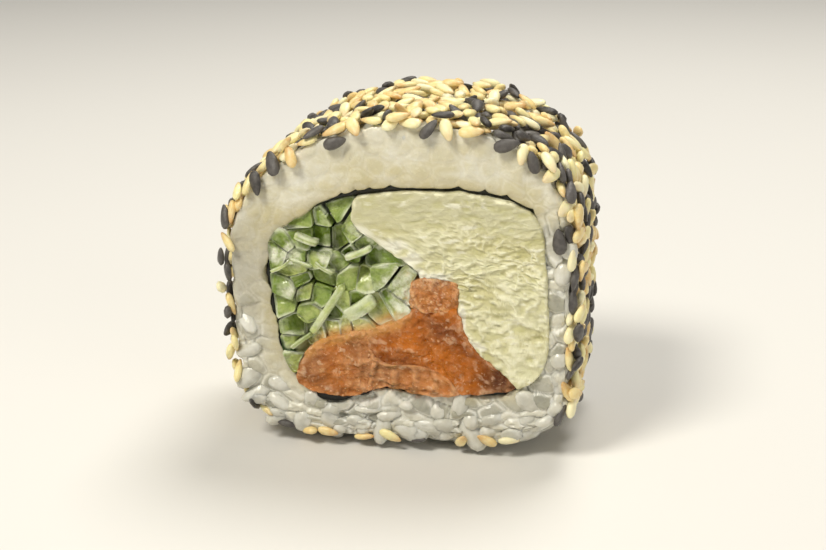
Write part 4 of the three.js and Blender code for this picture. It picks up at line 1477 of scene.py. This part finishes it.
class URAMAKI_OT_cucumber(Operator):
    """Make the bundle of cucumber sticks"""

    bl_idname = "uramaki.cucumber"
    bl_label = "Cucumber"

    def execute(self, context):
        sticks = cucumber_sticks(context.scene.uramaki_sizes)
        material = cucumber_material(context.scene.uramaki_colours)
        dress(sticks, material, "cucumber", "cucumber_strips")
        dress(cucumber_slivers(), material, "cucumber")
        return {"FINISHED"}


class URAMAKI_OT_salmon(Operator):
    """Make the three strips of salmon"""

    bl_idname = "uramaki.salmon"
    bl_label = "Salmon"

    def execute(self, context):
        colours = context.scene.uramaki_colours
        around_salmon = (SALMON_EDGE, SALMON_ROOM, LOBE_LINE)
        with_strip_line = (*around_salmon, STRIP_LINE)
        strips = (
            ("salmon_lobe", (4.6, 20.9), around_salmon, 0.6, 0.5, 101, "salmon_top_lobe"),
            ("salmon_strip", (4.5, 14.0), with_strip_line, 0.1, 0.04, 111, "salmon_main_strip"),
            ("salmon_under", (-5.0, 10.6), with_strip_line, 0.9, 0.28, 121, "salmon_lower_strip"),
        )
        for name, middle, edges, bands, pallor, seed, node in strips:
            relief = salmon_relief(bands, seed)
            strip = filling_piece(name, middle, edges, relief, seed, ragged=0.3, grow=0.16, rounding=0.3)
            dress(strip, salmon_material(name, colours, pallor), "salmon", node)
        return {"FINISHED"}


class URAMAKI_OT_stage(Operator):
    """Make the floor, the lights and the camera"""

    bl_idname = "uramaki.stage"
    bl_label = "Stage"

    def execute(self, context):
        make_floor(context.scene.uramaki_colours)
        make_lights()
        make_camera(context)
        context.scene.view_settings.view_transform = "Standard"
        return {"FINISHED"}


def make_floor(colours):
    """A wide square at z = 0."""
    size = 3.0
    corners = [(-size, -size, 0), (size, -size, 0), (size, size, 0), (-size, size, 0)]
    mesh = bpy.data.meshes.new("floor")
    mesh.from_pydata(corners, [], [(0, 1, 2, 3)])
    mesh.materials.append(floor_material(colours))
    floor = bpy.data.objects.new("floor", mesh)
    bpy.context.scene.collection.objects.link(floor)


def make_lights():
    """Soft studio light: a large key from the upper left front, a fill from the right, a light from above
    behind, and an even pale surround."""
    target = Vector((0, 0, 0.02))
    lights = (
        ("key", (-0.22, -0.34, 0.50), 0.20, 3.0, (1.0, 0.96, 0.86)),
        ("fill", (0.50, -0.40, 0.20), 0.40, 0.6, (1.0, 0.98, 0.92)),
        ("top", (0.10, 0.25, 0.55), 0.30, 2.4, (1.0, 0.97, 0.90)),
    )
    for name, place, size, power, colour in lights:
        data = bpy.data.lights.new(name, "AREA")
        data.shape, data.size, data.energy, data.color = "DISK", size, power, colour
        light = bpy.data.objects.new(name, data)
        light.location = place
        light.rotation_euler = (target - Vector(place)).to_track_quat("-Z", "Y").to_euler()
        bpy.context.scene.collection.objects.link(light)
    world = bpy.data.worlds.new("surround")
    world.use_nodes = True
    backdrop = world.node_tree.nodes["Background"]
    backdrop.inputs["Color"].default_value = (1.0, 0.98, 0.93, 1.0)
    backdrop.inputs["Strength"].default_value = 0.2
    bpy.context.scene.world = world


def make_camera(context):
    """The camera at the photograph's viewpoint, aimed at the middle of the piece."""
    data = bpy.data.cameras.new("camera")
    data.lens = CAMERA_LENS
    data.clip_start = 0.005
    camera = bpy.data.objects.new("camera", data)
    place = Vector((np.array(CAMERA_PLACE) + SHIFT) * MM)
    target = Vector((np.array(CAMERA_TARGET) + SHIFT) * MM)
    camera.location = place
    camera.rotation_euler = (target - place).to_track_quat("-Z", "Y").to_euler()
    context.scene.collection.objects.link(camera)
    context.scene.camera = camera


class URAMAKI_PT_panel(Panel):
    """Lists the sizes, the colours and the buttons that make each piece"""

    bl_idname = "URAMAKI_PT_panel"
    bl_label = "Uramaki Piece"
    bl_space_type = "VIEW_3D"
    bl_region_type = "UI"
    bl_category = "Uramaki"

    def draw(self, context):
        layout = self.layout
        for group in (context.scene.uramaki_sizes, context.scene.uramaki_colours):
            box = layout.box()
            for key in group.__annotations__:
                box.prop(group, key)
        for operator in OPERATORS:
            layout.operator(operator.bl_idname)


OPERATORS = (
    URAMAKI_OT_rice,
    URAMAKI_OT_sesame,
    URAMAKI_OT_seaweed,
    URAMAKI_OT_cheese,
    URAMAKI_OT_cucumber,
    URAMAKI_OT_salmon,
    URAMAKI_OT_stage,
)
CLASSES = (UramakiSizes, UramakiColours, *OPERATORS, URAMAKI_PT_panel)


def register():
    for each in CLASSES:
        bpy.utils.register_class(each)
    bpy.types.Scene.uramaki_sizes = PointerProperty(type=UramakiSizes)
    bpy.types.Scene.uramaki_colours = PointerProperty(type=UramakiColours)


def unregister():
    del bpy.types.Scene.uramaki_colours
    del bpy.types.Scene.uramaki_sizes
    for each in reversed(CLASSES):
        bpy.utils.unregister_class(each)


def main():
    register()
    bpy.ops.uramaki.rice()
    bpy.ops.uramaki.sesame()
    bpy.ops.uramaki.seaweed()
    bpy.ops.uramaki.cheese()
    bpy.ops.uramaki.cucumber()
    bpy.ops.uramaki.salmon()
    bpy.ops.uramaki.stage()
    bpy.context.view_layer.update()


if __name__ == "__main__":
    main()
